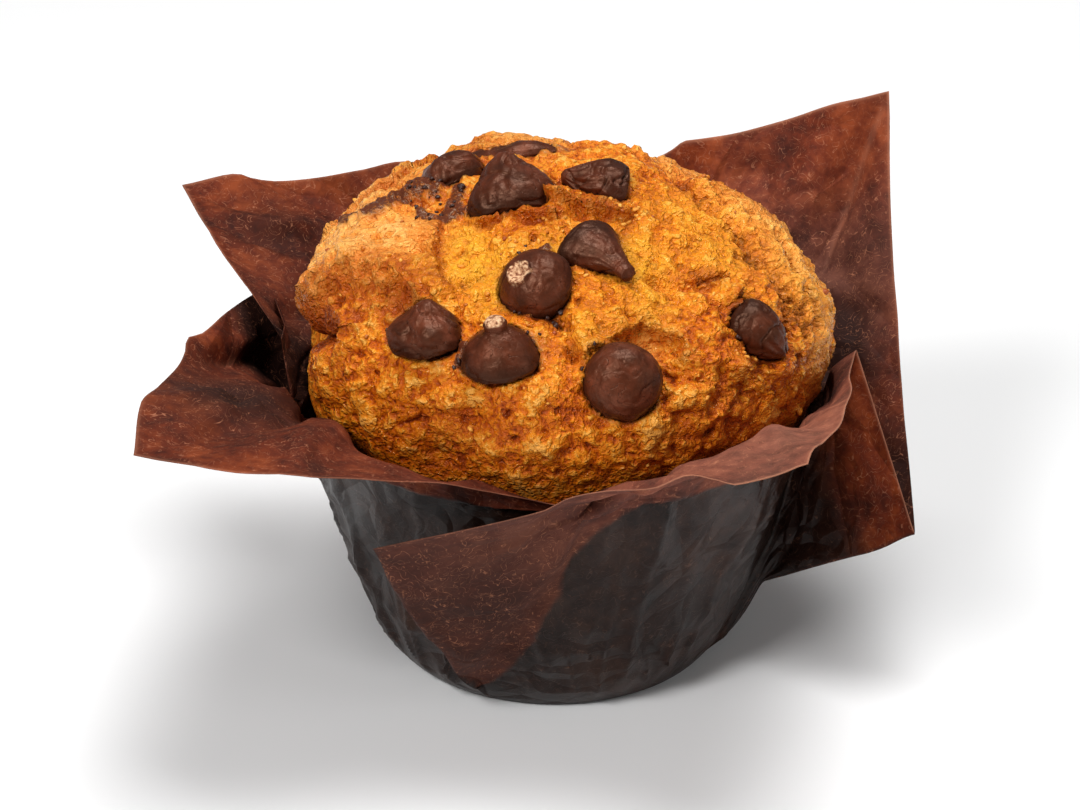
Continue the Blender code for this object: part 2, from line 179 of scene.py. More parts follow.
class Panel:
    """One quarter of the sheet, from a pleat's outer fold round its corner to the next pleat."""

    def __init__(self, start, end, leave, bend, edge):
        self.start = start
        self.end = end
        self.leave = leave
        self.bend = bend
        self.shares = [e[0] for e in edge]
        self.points = [Vector(e[1:]) for e in edge]
        self.hold_table = None

    def angle(self, f, s):
        up = min(s / RIM_S, 1.3)
        first = mix(self.start[0], self.start[1], up)
        last = mix(self.end[0], self.end[1], up)
        return mix(first, last, f)

    def edge(self, f):
        """Point of the free edge: a smooth curve through its points, broken at the corner."""
        xs = self.shares
        i = max(j for j in range(len(xs) - 1) if xs[j] <= f)
        gap = xs[i + 1] - xs[i]
        t = (f - xs[i]) / gap
        a, b = self.points[i], self.points[i + 1]
        slope_a = slope_b = (b - a) / gap
        if i > 0 and xs[i] != 0.5:
            slope_a = (b - self.points[i - 1]) / (xs[i + 1] - xs[i - 1])
        if i + 2 < len(xs) and xs[i + 1] != 0.5:
            slope_b = (self.points[i + 2] - a) / (xs[i + 2] - xs[i])
        return (
            a * (2 * t**3 - 3 * t**2 + 1) + slope_a * gap * (t**3 - 2 * t**2 + t)
            + b * (3 * t**2 - 2 * t**3) + slope_b * gap * (t**3 - t**2)
        )

    def strip(self, f, s, leave, bend):
        """Point s along one strip of paper, up the wall and then out to the free edge."""
        if s <= leave:
            return wall_point(self.angle(f, s), s)
        root = wall_point(self.angle(f, leave), leave)
        rise = root - wall_point(self.angle(f, leave - 1.0), leave - 1.0)
        tip = self.edge(f)
        turn = root.lerp(tip, 0.5)
        if bend:
            turn = root + rise.normalized() * (tip - root).length * bend
        u = (s - leave) / (panel_reach(f) - leave)
        return root * (1 - u) ** 2 + turn * (2 * u * (1 - u)) + tip * u * u

    def hold(self, s):
        """Share of the way round at which the paper drawn from the first fold meets the cup."""
        if self.hold_table is None:
            self.hold_table = [self.hold_at(h * 0.5) for h in range(240)]
        low = min(int(s * 2.0), 238)
        return mix(self.hold_table[low], self.hold_table[low + 1], s * 2.0 - low)

    def hold_at(self, s):
        fold = self.strip(0.0, s, self.leave, 0.0)
        away = (fold - cup_axis(fold.z)).xy.length
        room = cup_radius(min(fold.z, RIM_HEIGHT)) + CAD_PAPER / 2
        if away <= room + 0.01:
            return 0.0
        swing = math.degrees(math.acos(room / away))
        return min(swing / (self.angle(1.0, s) - self.angle(0.0, s)), LARGEST_HOLD)

    def drawn(self, g, s, hold):
        """Point at share g of the straight way from the first fold to where the panel holds."""
        fold = self.strip(0.0, s, self.leave, 0.0)
        return fold.lerp(self.strip(hold, s, FREE_FROM, self.bend), g)

    def point(self, f, t):
        """Point at share t of the way out on the sheet, at share f of the way round."""
        s = t * panel_reach(f)
        hold = self.hold(s)
        if f >= hold:
            return self.strip(f, s, FREE_FROM, self.bend)
        g = f / hold
        end = self.hold(panel_reach(f))
        stray = self.edge(end * g) - self.drawn(g, panel_reach(end * g), end)
        return self.drawn(g, s, hold) + stray * t * t


PANELS = [
    Panel(  # back right, its first fold standing off as a wing on the right
        start=(-13.0, -15.0), end=(62.0, 104.0), leave=15.0, bend=0.12,
        edge=(
            (0.0, 54.5, -20.0, 27.7), (0.09, 54.3, -9.6, 33.6), (0.18, 54.0, 2.5, 40.1),
            (0.28, 54.2, 15.3, 48.3), (0.35, 53.9, 23.7, 55.3), (0.41, 53.6, 31.3, 64.5),
            (0.5, 53.6, 40.0, 78.6), (0.56, 45.5, 42.5, 75.7), (0.62, 37.7, 44.4, 72.0),
            (0.7, 28.7, 45.5, 68.9), (0.745, 22.8, 45.9, 67.7), (0.765, 20.3, 46.0, 67.3),
            (0.805, 17.5, 46.4, 65.1), (0.86, 11.0, 46.5, 61.5), (1.0, -10.0, 46.0, 51.0),
        ),
    ),
    Panel(  # back left
        start=(72.0, 76.0), end=(152.0, 185.0), leave=30.0, bend=0.15,
        edge=(
            (0.0, 12.5, 50.5, 47.5), (0.24, -25.5, 50.0, 61.6), (0.3, -34.5, 50.0, 60.2),
            (0.35, -41.7, 50.0, 58.9), (0.395, -48.7, 50.0, 58.3), (0.42, -53.3, 50.1, 58.8),
            (0.44, -55.8, 50.0, 59.6), (0.5, -64.6, 47.7, 58.5), (0.61, -59.9, 36.7, 56.0),
            (0.74, -54.1, 23.7, 53.5), (0.875, -48.8, 10.6, 52.3), (1.0, -43.5, -1.0, 52.6),
        ),
    ),
    Panel(  # front left
        start=(162.0, 154.0), end=(228.0, 271.0), leave=34.0, bend=0.3,
        edge=(
            (0.0, -48.5, 27.0, 49.0), (0.07, -51.6, 20.3, 50.0), (0.14, -54.9, 11.9, 50.8),
            (0.19, -57.3, 2.4, 52.1), (0.217, -59.2, -2.8, 53.7), (0.238, -59.3, -6.2, 53.0),
            (0.263, -59.9, -10.0, 52.7), (0.35, -62.0, -23.6, 55.3), (0.41, -64.0, -32.1, 56.6),
            (0.5, -63.9, -46.0, 54.4), (0.535, -59.0, -48.4, 54.7), (0.585, -52.1, -51.7, 55.1),
            (0.64, -44.7, -53.2, 55.2), (0.715, -34.6, -52.2, 54.3), (0.77, -27.4, -50.7, 52.9),
            (0.835, -18.7, -47.8, 50.8), (0.89, -11.4, -45.2, 47.8), (1.0, 3.0, -43.2, 44.0),
        ),
    ),
    Panel(  # front right, its first fold standing off as the flap across the front
        start=(247.0, 236.0), end=(336.0, 360.0), leave=2.0, bend=0.34,
        edge=(
            (0.0, -28.7, -47.0, 39.6), (0.1, -15.4, -49.8, 44.3), (0.19, -3.4, -50.6, 47.9),
            (0.217, 0.1, -50.9, 50.0), (0.26, 5.7, -51.8, 51.8), (0.312, 12.4, -54.1, 53.5),
            (0.35, 16.5, -56.3, 56.6), (0.367, 18.5, -57.6, 57.4), (0.393, 21.1, -60.7, 58.2),
            (0.425, 24.4, -63.1, 58.5), (0.5, 34.5, -60.1, 60.1), (0.53, 35.4, -56.5, 60.8),
            (0.56, 37.0, -52.0, 60.0), (0.633, 39.6, -44.9, 58.2), (0.685, 41.1, -38.7, 57.8),
            (0.8, 43.4, -24.0, 55.0), (0.875, 44.0, -14.9, 52.9), (1.0, 46.2, 0.0, 50.1),
        ),
    ),
]
BACK_RIGHT, BACK_LEFT, FRONT_LEFT, FRONT_RIGHT = range(4)


def sheet_reach(angle):
    """From the base edge to the free edge of the flat square sheet, at an angle on it."""
    a = math.radians(angle)
    return SHEET_SIDE / 2 / max(abs(math.cos(a)), abs(math.sin(a))) - BASE_RADIUS


def panel_reach(f):
    """The same at share f of a panel, whose corner is at its middle."""
    return sheet_reach(mix(PLEAT_HALF_ANGLE, 90.0 - PLEAT_HALF_ANGLE, f))


def lifted(p, layers, s):
    """p pushed out by so many layers of a pleat, which part over the foot of the wall and close
    up again in the free paper, whose edge is set by its own points."""
    side = Vector((p.x, p.y, 0.0)).normalized()
    parted = smooth(0.0, PLEAT_RISE, s) * (1.0 - 0.9 * smooth(RIM_S - 1.0, RIM_S + 13.0, s))
    return p + side * layers * LAYER_STEP * float(parted)


FOLD_ROUND = 0.014         # share of a panel over which its outer fold bends round
INNER_ROUND = 0.012


def panel_layers(k, f, s):
    """How many layers above the wall panel k lies."""
    here = PANELS[k].angle(f, s)
    under = PANELS[k - 1].angle(1.0, s) - (360.0 if k == 0 else 0.0)
    layers = OUTER_LAYERS * (1.0 - float(smooth(under + 1.0, under + PLEAT_SETTLE, here)))
    layers -= 0.5 * (1.0 - min(f / FOLD_ROUND, 1.0)) ** 2
    return layers + INNER_FOLD_LAYERS * (1.0 - min((1.0 - f) / INNER_ROUND, 1.0)) ** 2


def panel_point(k, f, t):
    """Point of panel k, which starts over the two other layers of the pleat before it."""
    s = t * panel_reach(f)
    return lifted(keep_off(PANELS[k].point(f, t)), panel_layers(k, f, s), s)


def pleat_point(k, q, t):
    """Point on the middle layer of the pleat before panel k: q is 0 at its inner fold."""
    inner = PANELS[k - 1].point(1.0, t)
    outer = PANELS[k].point(0.0, t)
    bend = 0.3 * smooth(0.0, 0.05, q) + 0.4 * smooth(0.05, 0.95, q) + 0.3 * smooth(0.95, 1.0, q)
    layers = INNER_FOLD_LAYERS + float(bend)
    return lifted(keep_off(inner.lerp(outer, q)), layers, t * panel_reach(0.0))


PLEAT_SHARES = (0.0, 0.02, 0.05, 0.14, 0.26, 0.38, 0.5, 0.62, 0.74, 0.86, 0.95, 0.98)
FOLD_SHARES = (0.0, 0.005, 0.012, 0.02)


# Shares of the way out at which the rows lie, close together at the cut edge.
ROW_SHARES = (*np.linspace(0.0, 0.99, PAPER_ROWS - 2), 0.995, 0.998, 1.0)


def paper_columns():
    """(panel, share, is a pleat) for each column of the sheet, in order round it."""
    inner = np.linspace(FOLD_SHARES[-1], 1.0 - FOLD_SHARES[-1], PANEL_STEPS)
    shares = [*FOLD_SHARES[:-1], *inner, *(1.0 - f for f in FOLD_SHARES[-2:0:-1])]
    columns = []
    for k in range(4):
        columns += [(k, q, True) for q in PLEAT_SHARES]
        columns += [(k, float(f), False) for f in shares]
    return columns


def sheet_place(column, t):
    """Where a point of the folded sheet lies on the flat one, from its middle."""
    k, share, pleat = column
    if pleat:
        turn = mix(-PLEAT_HALF_ANGLE, PLEAT_HALF_ANGLE, share)
    else:
        turn = mix(PLEAT_HALF_ANGLE, 90.0 - PLEAT_HALF_ANGLE, share)
    return compass(90.0 * k + turn, BASE_RADIUS + t * sheet_reach(turn))


# Creases pressed into the free paper: panel, height, half width, then points as (share of the
# way round the panel, distance up from the base edge). Positive ones are ridges on its face.
# Those taller than 1.5 also get a painted highlight along them.
CREASES = (
    (BACK_RIGHT, 4.6, 13.0, (0.5, 93.0), (0.48, 86.0), (0.44, 74.0), (0.4, 66.0)),
    (BACK_RIGHT, 1.6, 5.0, (0.38, 62.0), (0.34, 66.0), (0.29, 71.0)),
    (BACK_RIGHT, -1.6, 3.5, (0.765, 69.0), (0.73, 69.0), (0.7, 66.0), (0.67, 60.0)),
    (BACK_RIGHT, 0.9, 3.5, (0.66, 70.0), (0.61, 73.0), (0.56, 78.0)),
    (BACK_RIGHT, -0.8, 4.0, (0.56, 84.0), (0.52, 74.0), (0.44, 68.0)),
    (BACK_RIGHT, 0.7, 3.0, (0.2, 60.0), (0.26, 54.0), (0.34, 58.0)),
    (BACK_LEFT, -1.7, 3.5, (0.55, 87.0), (0.54, 82.0), (0.51, 79.0), (0.45, 74.0)),
    (BACK_LEFT, 1.2, 3.5, (0.58, 84.0), (0.57, 78.0), (0.52, 72.0), (0.46, 68.0)),
    (BACK_LEFT, 1.2, 3.5, (0.35, 76.0), (0.36, 72.0), (0.42, 70.0), (0.48, 64.0)),
    (BACK_LEFT, -0.9, 3.0, (0.44, 85.0), (0.47, 80.0), (0.56, 68.0)),
    (BACK_LEFT, 0.9, 3.0, (0.49, 88.0), (0.47, 83.0), (0.43, 76.0)),
    (BACK_LEFT, 1.1, 3.5, (0.8, 62.0), (0.74, 61.0), (0.66, 60.0)),
    (FRONT_LEFT, 2.6, 6.0, (0.27, 69.0), (0.17, 58.0), (0.1, 51.0), (0.07, 45.0), (0.06, 40.0)),
    (FRONT_LEFT, -1.6, 3.0, (0.19, 66.0), (0.15, 58.0), (0.09, 54.0)),
    (FRONT_LEFT, 1.2, 3.0, (0.3, 70.0), (0.36, 66.0), (0.44, 72.0)),
    (FRONT_LEFT, 1.0, 4.0, (0.41, 84.0), (0.34, 76.0), (0.27, 68.0)),
    (FRONT_LEFT, -1.2, 4.0, (0.66, 76.0), (0.56, 62.0), (0.42, 54.0)),
    (FRONT_LEFT, 1.0, 3.0, (0.36, 46.0), (0.46, 60.0), (0.5, 72.0)),
    (FRONT_LEFT, -0.9, 3.5, (0.48, 88.0), (0.44, 74.0), (0.38, 60.0)),
    (FRONT_RIGHT, 1.4, 5.0, (0.38, 66.0), (0.42, 62.0), (0.5, 68.0), (0.6, 66.0), (0.66, 69.0)),
    (FRONT_RIGHT, -0.8, 3.0, (0.53, 88.0), (0.56, 74.0), (0.58, 60.0)),
    (FRONT_RIGHT, 0.8, 3.0, (0.35, 74.0), (0.37, 62.0), (0.36, 54.0)),
)

# How orange each panel's paper is, partly its own tone and partly a painted glow of light shining
# through it,
# and how much painted shade it has, then spots with more of either (negative darkness is painted
# light):
# panel, share of the way round, distance up from the base edge, spread, orange, darkness.
PANEL_ORANGE_AND_GLOW = (0.6, 0.8, 0.75, 0.1)
PANEL_PAINTED_SHADE = (0.14, 0.24, 0.36, 0.1)
SPOTS = (
    (BACK_RIGHT, 0.38, 76.0, 8.0, -0.5, 0.2), (BACK_RIGHT, 0.3, 66.0, 8.0, -0.4, 0.1),
    (BACK_RIGHT, 0.44, 66.0, 8.0, -0.4, 0.1),
    (BACK_RIGHT, 0.33, 62.0, 3.6, 0.0, 0.6), (BACK_RIGHT, 0.3, 58.0, 3.6, 0.0, 0.7),
    (BACK_RIGHT, 0.27, 54.0, 4.0, 0.0, 0.8), (BACK_RIGHT, 0.12, 28.0, 12.0, 0.0, 0.6),
    (FRONT_RIGHT, 0.98, 34.0, 9.0, 0.0, 0.9), (FRONT_RIGHT, 0.9, 20.0, 7.0, 0.0, 0.5),
    (BACK_RIGHT, 0.03, 40.0, 20.0, 0.6, 0.6), (BACK_RIGHT, 0.08, 60.0, 9.0, 0.5, 0.2),
    (BACK_RIGHT, 0.8, 66.0, 5.0, 0.9, 0.0), (BACK_RIGHT, 0.52, 84.0, 9.0, 0.3, 0.0),
    (BACK_RIGHT, 0.71, 60.0, 6.0, 0.0, 0.5), (BACK_LEFT, 0.5, 88.0, 10.0, 0.4, 0.0),
    (BACK_LEFT, 0.24, 76.0, 9.0, 0.6, 0.1), (BACK_LEFT, 0.52, 79.0, 5.0, 0.3, 0.4),
    (BACK_LEFT, 0.5, 74.0, 24.0, 0.0, 0.16), (BACK_LEFT, 0.8, 58.0, 8.0, 0.2, 0.3),
    (FRONT_LEFT, 0.5, 90.0, 11.0, 0.5, 0.0), (FRONT_LEFT, 0.38, 68.0, 9.0, 0.4, 0.45),
    (FRONT_LEFT, 0.4, 66.0, 18.0, 0.2, 0.2), (FRONT_LEFT, 0.05, 54.0, 9.0, 0.5, 0.4),
    (BACK_LEFT, 0.97, 54.0, 7.0, 0.0, 1.2), (FRONT_LEFT, 0.03, 50.0, 7.0, 0.0, 1.2),
    (FRONT_LEFT, 0.17, 60.0, 5.0, 0.0, -0.35), (FRONT_RIGHT, 0.5, 80.0, 18.0, 0.1, -0.3),
    (FRONT_RIGHT, 0.66, 62.0, 13.0, 0.1, -0.26), (FRONT_RIGHT, 0.3, 64.0, 8.0, 0.0, -0.1),
    (FRONT_RIGHT, 0.06, 36.0, 24.0, 0.0, 0.75),
)


def sheet_point(k, share, along):
    """Point of panel k at a share of the way round and a distance up from the base edge."""
    return np.array(panel_point(k, share, min(along / panel_reach(share), 1.0)))


def tent(away, width):
    return np.clip(1.0 - away / width, 0.0, 1.0)


def crease_heights(k, points):
    """Height of all the creases of panel k at points of it, and a painted highlight along the
    taller ones. Each has two flat, sloping sides."""
    height = np.zeros(len(points))
    painted_highlight = np.zeros(len(points))
    for panel, tall, width, *route in CREASES:
        if panel != k:
            continue
        stops = [sheet_point(k, *stop) for stop in route]
        away, _, share, _ = near_route(points, np.zeros_like(points), stops)
        ends = smooth(0.0, 0.3, 1.0 - np.abs(share * 2.0 - 1.0)) * 0.7 + 0.3
        height += 1.4 * tall * tent(away, width) * ends
        if tall > 1.5:
            painted_highlight = np.maximum(painted_highlight, tent(away, 0.9) * ends)
    return height, painted_highlight


def wall_wrinkle(p):
    """How far the wrinkles of the cup's wall stand out at p. They run up it, from the mould."""
    axis = cup_axis(p.z)
    turn = math.atan2(p.y - axis.y, p.x - axis.x)
    round_wall = Vector((math.cos(turn), math.sin(turn), 0.0)) * RIM_RADIUS
    wide = ridged(round_wall / 11.0 + Vector((0.0, 0.0, p.z / 40.0))) ** 2
    fine = ridged(round_wall / 5.0 + Vector((3.1, 7.7, p.z / 24.0))) ** 3
    slanted = ridged(round_wall / 8.0 + Vector((p.z / 18.0, 1.3, p.z / 14.0))) ** 3
    some = 0.4 + 0.6 * smooth(-0.3, 0.3, noise.noise(round_wall / 16.0 + Vector((0, 5, p.z / 20))))
    return (0.9 * wide + 0.7 * fine + 0.7 * slanted) * some - 0.3


# Straight creases that cross all over the free paper: turn on the sheet, spacing, depth.
CROSSINGS = ((17.0, 31.0, 2.4), (74.0, 23.0, 1.7), (131.0, 27.0, 2.0), (158.0, 14.0, 0.8),
             (43.0, 11.0, 0.6))


def sheet_wrinkle(place):
    """Crumples of the free paper, as flat facets, by place on the flat sheet."""
    height = 0.5 * noise.noise(Vector((place.x / 26.0, place.y / 26.0, 4.7)))
    for turn, spacing, depth in CROSSINGS:
        away = place.x * math.cos(math.radians(turn)) + place.y * math.sin(math.radians(turn))
        away += 5.0 * noise.noise(Vector((place.x / 30.0, place.y / 30.0, turn)))
        some = noise.noise(Vector((place.x / 19.0, place.y / 19.0, turn + 9.0)))
        wave = abs((away / spacing) % 1.0 - 0.5) * 2.0
        height += depth * (wave - 0.5) * smooth(-0.25, 0.3, some)
    small = ridged(Vector((place.x / 5.0, place.y / 5.0, 2.3))) ** 3
    return height + 0.12 * small


def soaked_edge(inside, below):
    """How far a point lies within the greasy area, whose outline turns a round corner."""
    round_corner = 17.0
    a = max(round_corner - inside, 0.0)
    b = max(round_corner - below, 0.0)
    return round_corner - math.hypot(a, b)


def paper_grid():
    """The folded sheet over columns and rows: places, flat places, and marks by name."""
    columns = paper_columns()
    shape = (len(columns), PAPER_ROWS + 1)
    places = np.zeros((*shape, 3))
    flat = np.zeros((*shape, 2))
    names = ("along", "free", "grease", "orange_and_glow", "painted_shade", "painted_light", "rim", "bend")
    marks = {name: np.zeros(shape) for name in names}
    for c, column in enumerate(columns):
        k, share, pleat = column
        panel = PANELS[k]
        reach = panel_reach(0.0 if pleat else share)
        for r in range(PAPER_ROWS + 1):
            t = float(ROW_SHARES[r])
            s = t * reach
            p = pleat_point(k, share, t) if pleat else panel_point(k, share, t)
            place = sheet_place(column, t)
            places[c, r] = p
            flat[c, r] = place.xy
            wobble = 1.6 * noise.noise(Vector((place.x / 6.0, place.y / 6.0, 0.0)))
            wobble += 0.5 * noise.noise(Vector((place.x / 1.6, place.y / 1.6, 3.0)))
            marks["along"][c, r] = s
            # The rim mark is a painted highlight along the cut edge, left off the pleat before the
            # front left panel.
            marks["rim"][c, r] = smooth(0.994, 0.998, t) * (0.0 if pleat and k == 2 else 1.0)
            if pleat:
                # Pleats: full orange and painted glow, and painted shade, which fades up the wall
                # in the pleat before the back right panel.
                marks["orange_and_glow"][c, r] = 1.0
                marks["painted_shade"][c, r] = 0.9 - 0.75 * smooth(20.0, 60.0, s) if k == 0 else 0.8
                marks["grease"][c, r] = 0.9 * (1.0 - smooth(RIM_S - 9.0, RIM_S + 2.0, s + wobble))
                continue
            hold = panel.hold(s)
            inside = 40.0
            if hold > 0.0:
                wide = math.radians(panel.angle(1.0, s) - panel.angle(0.0, s))
                inside = (share - hold) * wide * cup_radius(min(float(p.z), RIM_HEIGHT))
            deep = soaked_edge(inside + 1.0, RIM_S + 2.0 - s) + wobble
            marks["grease"][c, r] = smooth(-0.6, 0.9, deep)
            side = smooth(0.0, 0.07, share) * smooth(0.0, 0.07, 1.0 - share)
            marks["free"][c, r] = smooth(RIM_S - 4.0, RIM_S + 12.0, s) * side
            if hold > 0.0 and share < hold:
                away = (p - cup_axis(p.z)).xy.length - cup_radius(min(float(p.z), RIM_HEIGHT))
                marks["free"][c, r] = 0.35 * smooth(0.5, 6.0, away) * smooth(0.0, 0.05, share)
            marks["free"][c, r] *= 1.0 - 0.75 * smooth(0.86, 1.0, t)
    for k in range(4):
        mine = np.array([column[0] == k and not column[2] for column in columns])
        points = places[mine].reshape(-1, 3)
        creased, painted_highlight = crease_heights(k, points)
        fade = 1.0 - 0.8 * smooth(0.88, 1.0, np.array(ROW_SHARES))
        marks["bend"][mine] = creased.reshape(-1, shape[1]) * fade
        # Painted highlight along the taller creases, added to the rim mark.
        marks["rim"][mine] = np.maximum(marks["rim"][mine], 0.6 * painted_highlight.reshape(-1, shape[1]))
        # Orange of the panel, partly the paper's own tone and partly a painted glow of light
        # shining through it.
        orange_and_glow = np.full(len(points), PANEL_ORANGE_AND_GLOW[k])
        # Painted shade of the panel, with spots of more where shadow falls.
        painted_shade = np.full(len(points), PANEL_PAINTED_SHADE[k])
        for panel, share, along, spread, orange, shade in SPOTS:
            if panel == k:
                away = np.linalg.norm(points - sheet_point(k, share, along), axis=1)
                orange_and_glow += orange * np.exp(-0.5 * (away / spread) ** 2)
                painted_shade += shade * np.exp(-0.5 * (away / spread) ** 2)
        # The painted highlight on the edges fades where painted shade lies.
        marks["rim"][mine] *= 1.0 - np.clip(1.3 * painted_shade, 0.0, 1.0).reshape(-1, shape[1])
        marks["orange_and_glow"][mine] = orange_and_glow.reshape(-1, shape[1])
        marks["painted_shade"][mine] = np.clip(painted_shade, 0.0, 1.0).reshape(-1, shape[1])
        # Negative painted shade becomes painted light.
        marks["painted_light"][mine] = np.clip(-painted_shade, 0.0, 1.0).reshape(-1, shape[1])
    return columns, places, flat, marks


def grid_normals(places):
    """Unit normals of a grid that closes on itself round its columns."""
    round_way = np.roll(places, -1, axis=0) - np.roll(places, 1, axis=0)
    up_way = np.gradient(places, axis=1)
    normals = np.cross(round_way, up_way)
    lengths = np.linalg.norm(normals, axis=2, keepdims=True)
    return normals / np.maximum(lengths, 1e-9)


def make_paper(material):
    """A flat round of rings and spokes is folded, row by row, into the pleated and creased cup."""
    columns, places, flat, marks = paper_grid()
    normals = grid_normals(places)
    count = len(columns)
    for c in range(count):
        for r in range(PAPER_ROWS + 1):
            p = Vector(places[c, r])
            up_wall = float(marks["along"][c, r])
            held = 1.0 - smooth(RIM_S - 4.0, RIM_S + 6.0, up_wall)
            held *= smooth(1.0, 9.0, up_wall)
            out = compass(math.degrees(math.atan2(p.y, p.x)))
            p += out * max(wall_wrinkle(p), -0.2) * held
            wave = sheet_wrinkle(Vector((*flat[c, r], 0.0))) * marks["free"][c, r]
            p += Vector(normals[c, r]) * float(wave + marks["bend"][c, r])
            places[c, r] = p if held > 0.99 else keep_off(p)

    rings = 6
    bm = bmesh.new()
    spoke = [bm.verts.new((r, 0.0, 0.0)) for r in range(rings + PAPER_ROWS + 1)]
    edges = [bm.edges.new(pair) for pair in zip(spoke, spoke[1:])]
    bmesh.ops.spin(
        bm, geom=spoke + edges, cent=(0, 0, 0), axis=(0, 0, 1),
        angle=math.tau, steps=count, use_merge=True,
    )
    bmesh.ops.remove_doubles(bm, verts=bm.verts, dist=1e-4)
    bmesh.ops.recalc_face_normals(bm, faces=bm.faces)
    names = ("grease", "orange_and_glow", "painted_shade", "painted_light", "rim")
    layers = {name: bm.verts.layers.float.new(name) for name in names}
    on_sheet = {}
    floor = CAD_PAPER / 2
    for v in bm.verts:
        ring = round(v.co.xy.length)
        turn = math.atan2(v.co.y, v.co.x) % math.tau
        c = round(turn / math.tau * count) % count
        if ring < rings:
            share = ring / rings
            edge = Vector(places[c, 0])
            v.co = BASE_CENTRE.lerp(edge, share)
            v.co.z = mix(floor, edge.z, float(smooth(FLAT_SHARE, 1.0, share)))
            on_sheet[v] = flat[c, 0] * share
            v[layers["grease"]] = 1.0
        else:
            r = ring - rings
            v.co = places[c, r]
            on_sheet[v] = flat[c, r]
            for name in names:
                v[layers[name]] = marks[name][c, r]
    sheet_map = bm.loops.layers.uv.new("sheet")
    for face in bm.faces:
        for loop in face.loops:
            loop[sheet_map].uv = Vector(on_sheet[loop.vert]) / SHEET_SIDE + Vector((0.5, 0.5))
    bmesh.ops.recalc_face_normals(bm, faces=bm.faces)
    ob = finish_piece("paper_wrap", bm, material)
    solid = ob.modifiers.new("Thickness", "SOLIDIFY")
    solid.thickness = SHEET * MM
    solid.offset = 0.0
    solid.use_quality_normals = True
    return ob


# ---------------------------------------------------------------------------
# Dough
# ---------------------------------------------------------------------------


def dome_point(angle, rise):
    """Point of the plain dome, rise degrees above its equator (or below it)."""
    a = math.radians(rise)
    tall = DOME_RISE if rise >= 0.0 else DOME_UNDERCUT
    return compass(angle, DOME_RADIUS * math.cos(a), DOME_EQUATOR + tall * math.sin(a))


def dome_normal(p):
    tall = DOME_RISE if p.z >= DOME_EQUATOR else DOME_UNDERCUT
    return Vector(
        (p.x / DOME_RADIUS**2, p.y / DOME_RADIUS**2, (p.z - DOME_EQUATOR) / tall**2)
    ).normalized()


# Swellings and hollows of the crust: compass angle, rise, spread, height.
SWELLS = (
    (200.0, 34.0, 8.0, 1.8),      # upper lobe on the left
    (224.0, -4.0, 9.0, 1.2),      # lower lobe, under the crack
    (262.0, 4.0, 12.0, 1.0),
    (300.0, 8.0, 9.0, 0.8),
    (190.0, -8.0, 8.0, -1.0),
    (128.0, 62.0, 8.0, 3.0),      # hump at the top left
    (70.0, 74.0, 6.0, 1.2),
    (40.0, 40.0, 12.0, 1.0),
    (348.0, 24.0, 10.0, 0.9),
    (120.0, 20.0, 12.0, 1.6),
    (95.0, 35.0, 8.0, -1.4),
    (290.0, 30.0, 4.0, -1.8),     # dent behind the front chip
    (222.0, 56.0, 5.0, -1.2),
    (310.0, 42.0, 6.0, -0.8),
    (20.0, 10.0, 8.0, -1.0),
)

# Smaller ones that only show here.
DIMPLES = (
    (196.0, 6.0, 1.7, -2.0), (203.0, 11.5, 1.5, -2.0), (209.0, 16.0, 1.3, -1.6),
    (24.0, 24.0, 10.0, -3.0), (45.0, 36.0, 8.0, -1.4),
    (187.0, 4.0, 5.0, -3.6), (182.0, -4.0, 6.0, -2.2), (112.0, 60.0, 5.0, 1.0),
    (292.5, 31.0, 2.4, -1.4), (292.5, 20.0, 2.2, -1.6), (321.5, 12.0, 2.2, 1.4),
    (292.0, 33.0, 2.8, -2.6), (289.0, 40.0, 2.2, -1.2), (215.0, 49.0, 0.9, -2.0),
    (211.0, 53.0, 0.8, -1.6), (304.0, 17.0, 0.8, -1.6), (301.0, 6.0, 0.9, -1.4),
    (294.0, 3.0, 1.0, -1.5), (36.0, 59.0, 1.6, -1.8), (251.0, 7.0, 2.1, -1.9),
    (243.0, -9.0, 1.4, -1.4), (236.0, 54.0, 3.6, -1.3), (297.0, 57.0, 4.0, -1.2),
    (345.0, 60.0, 4.2, -0.9), (268.0, 14.0, 2.6, 1.0), (230.0, 12.0, 3.4, 1.2),
    (318.0, 10.0, 3.0, 0.9), (212.0, 0.0, 3.4, 1.1), (262.0, -3.0, 3.4, 0.9),
    (330.0, 62.0, 3.0, 0.9), (276.0, 42.0, 2.4, 1.2), (186.0, 44.0, 3.2, 0.9),
    (172.0, 24.0, 3.4, 0.9), (244.0, 36.0, 1.6, -1.0), (268.0, 40.0, 2.0, -1.2),
    (198.0, 40.0, 3.4, 0.9), (218.0, 33.0, 2.4, 0.8), (64.0, 66.0, 3.0, 1.4),
    (20.0, 70.0, 4.0, 1.0), (330.0, 34.0, 3.0, 0.9),
)

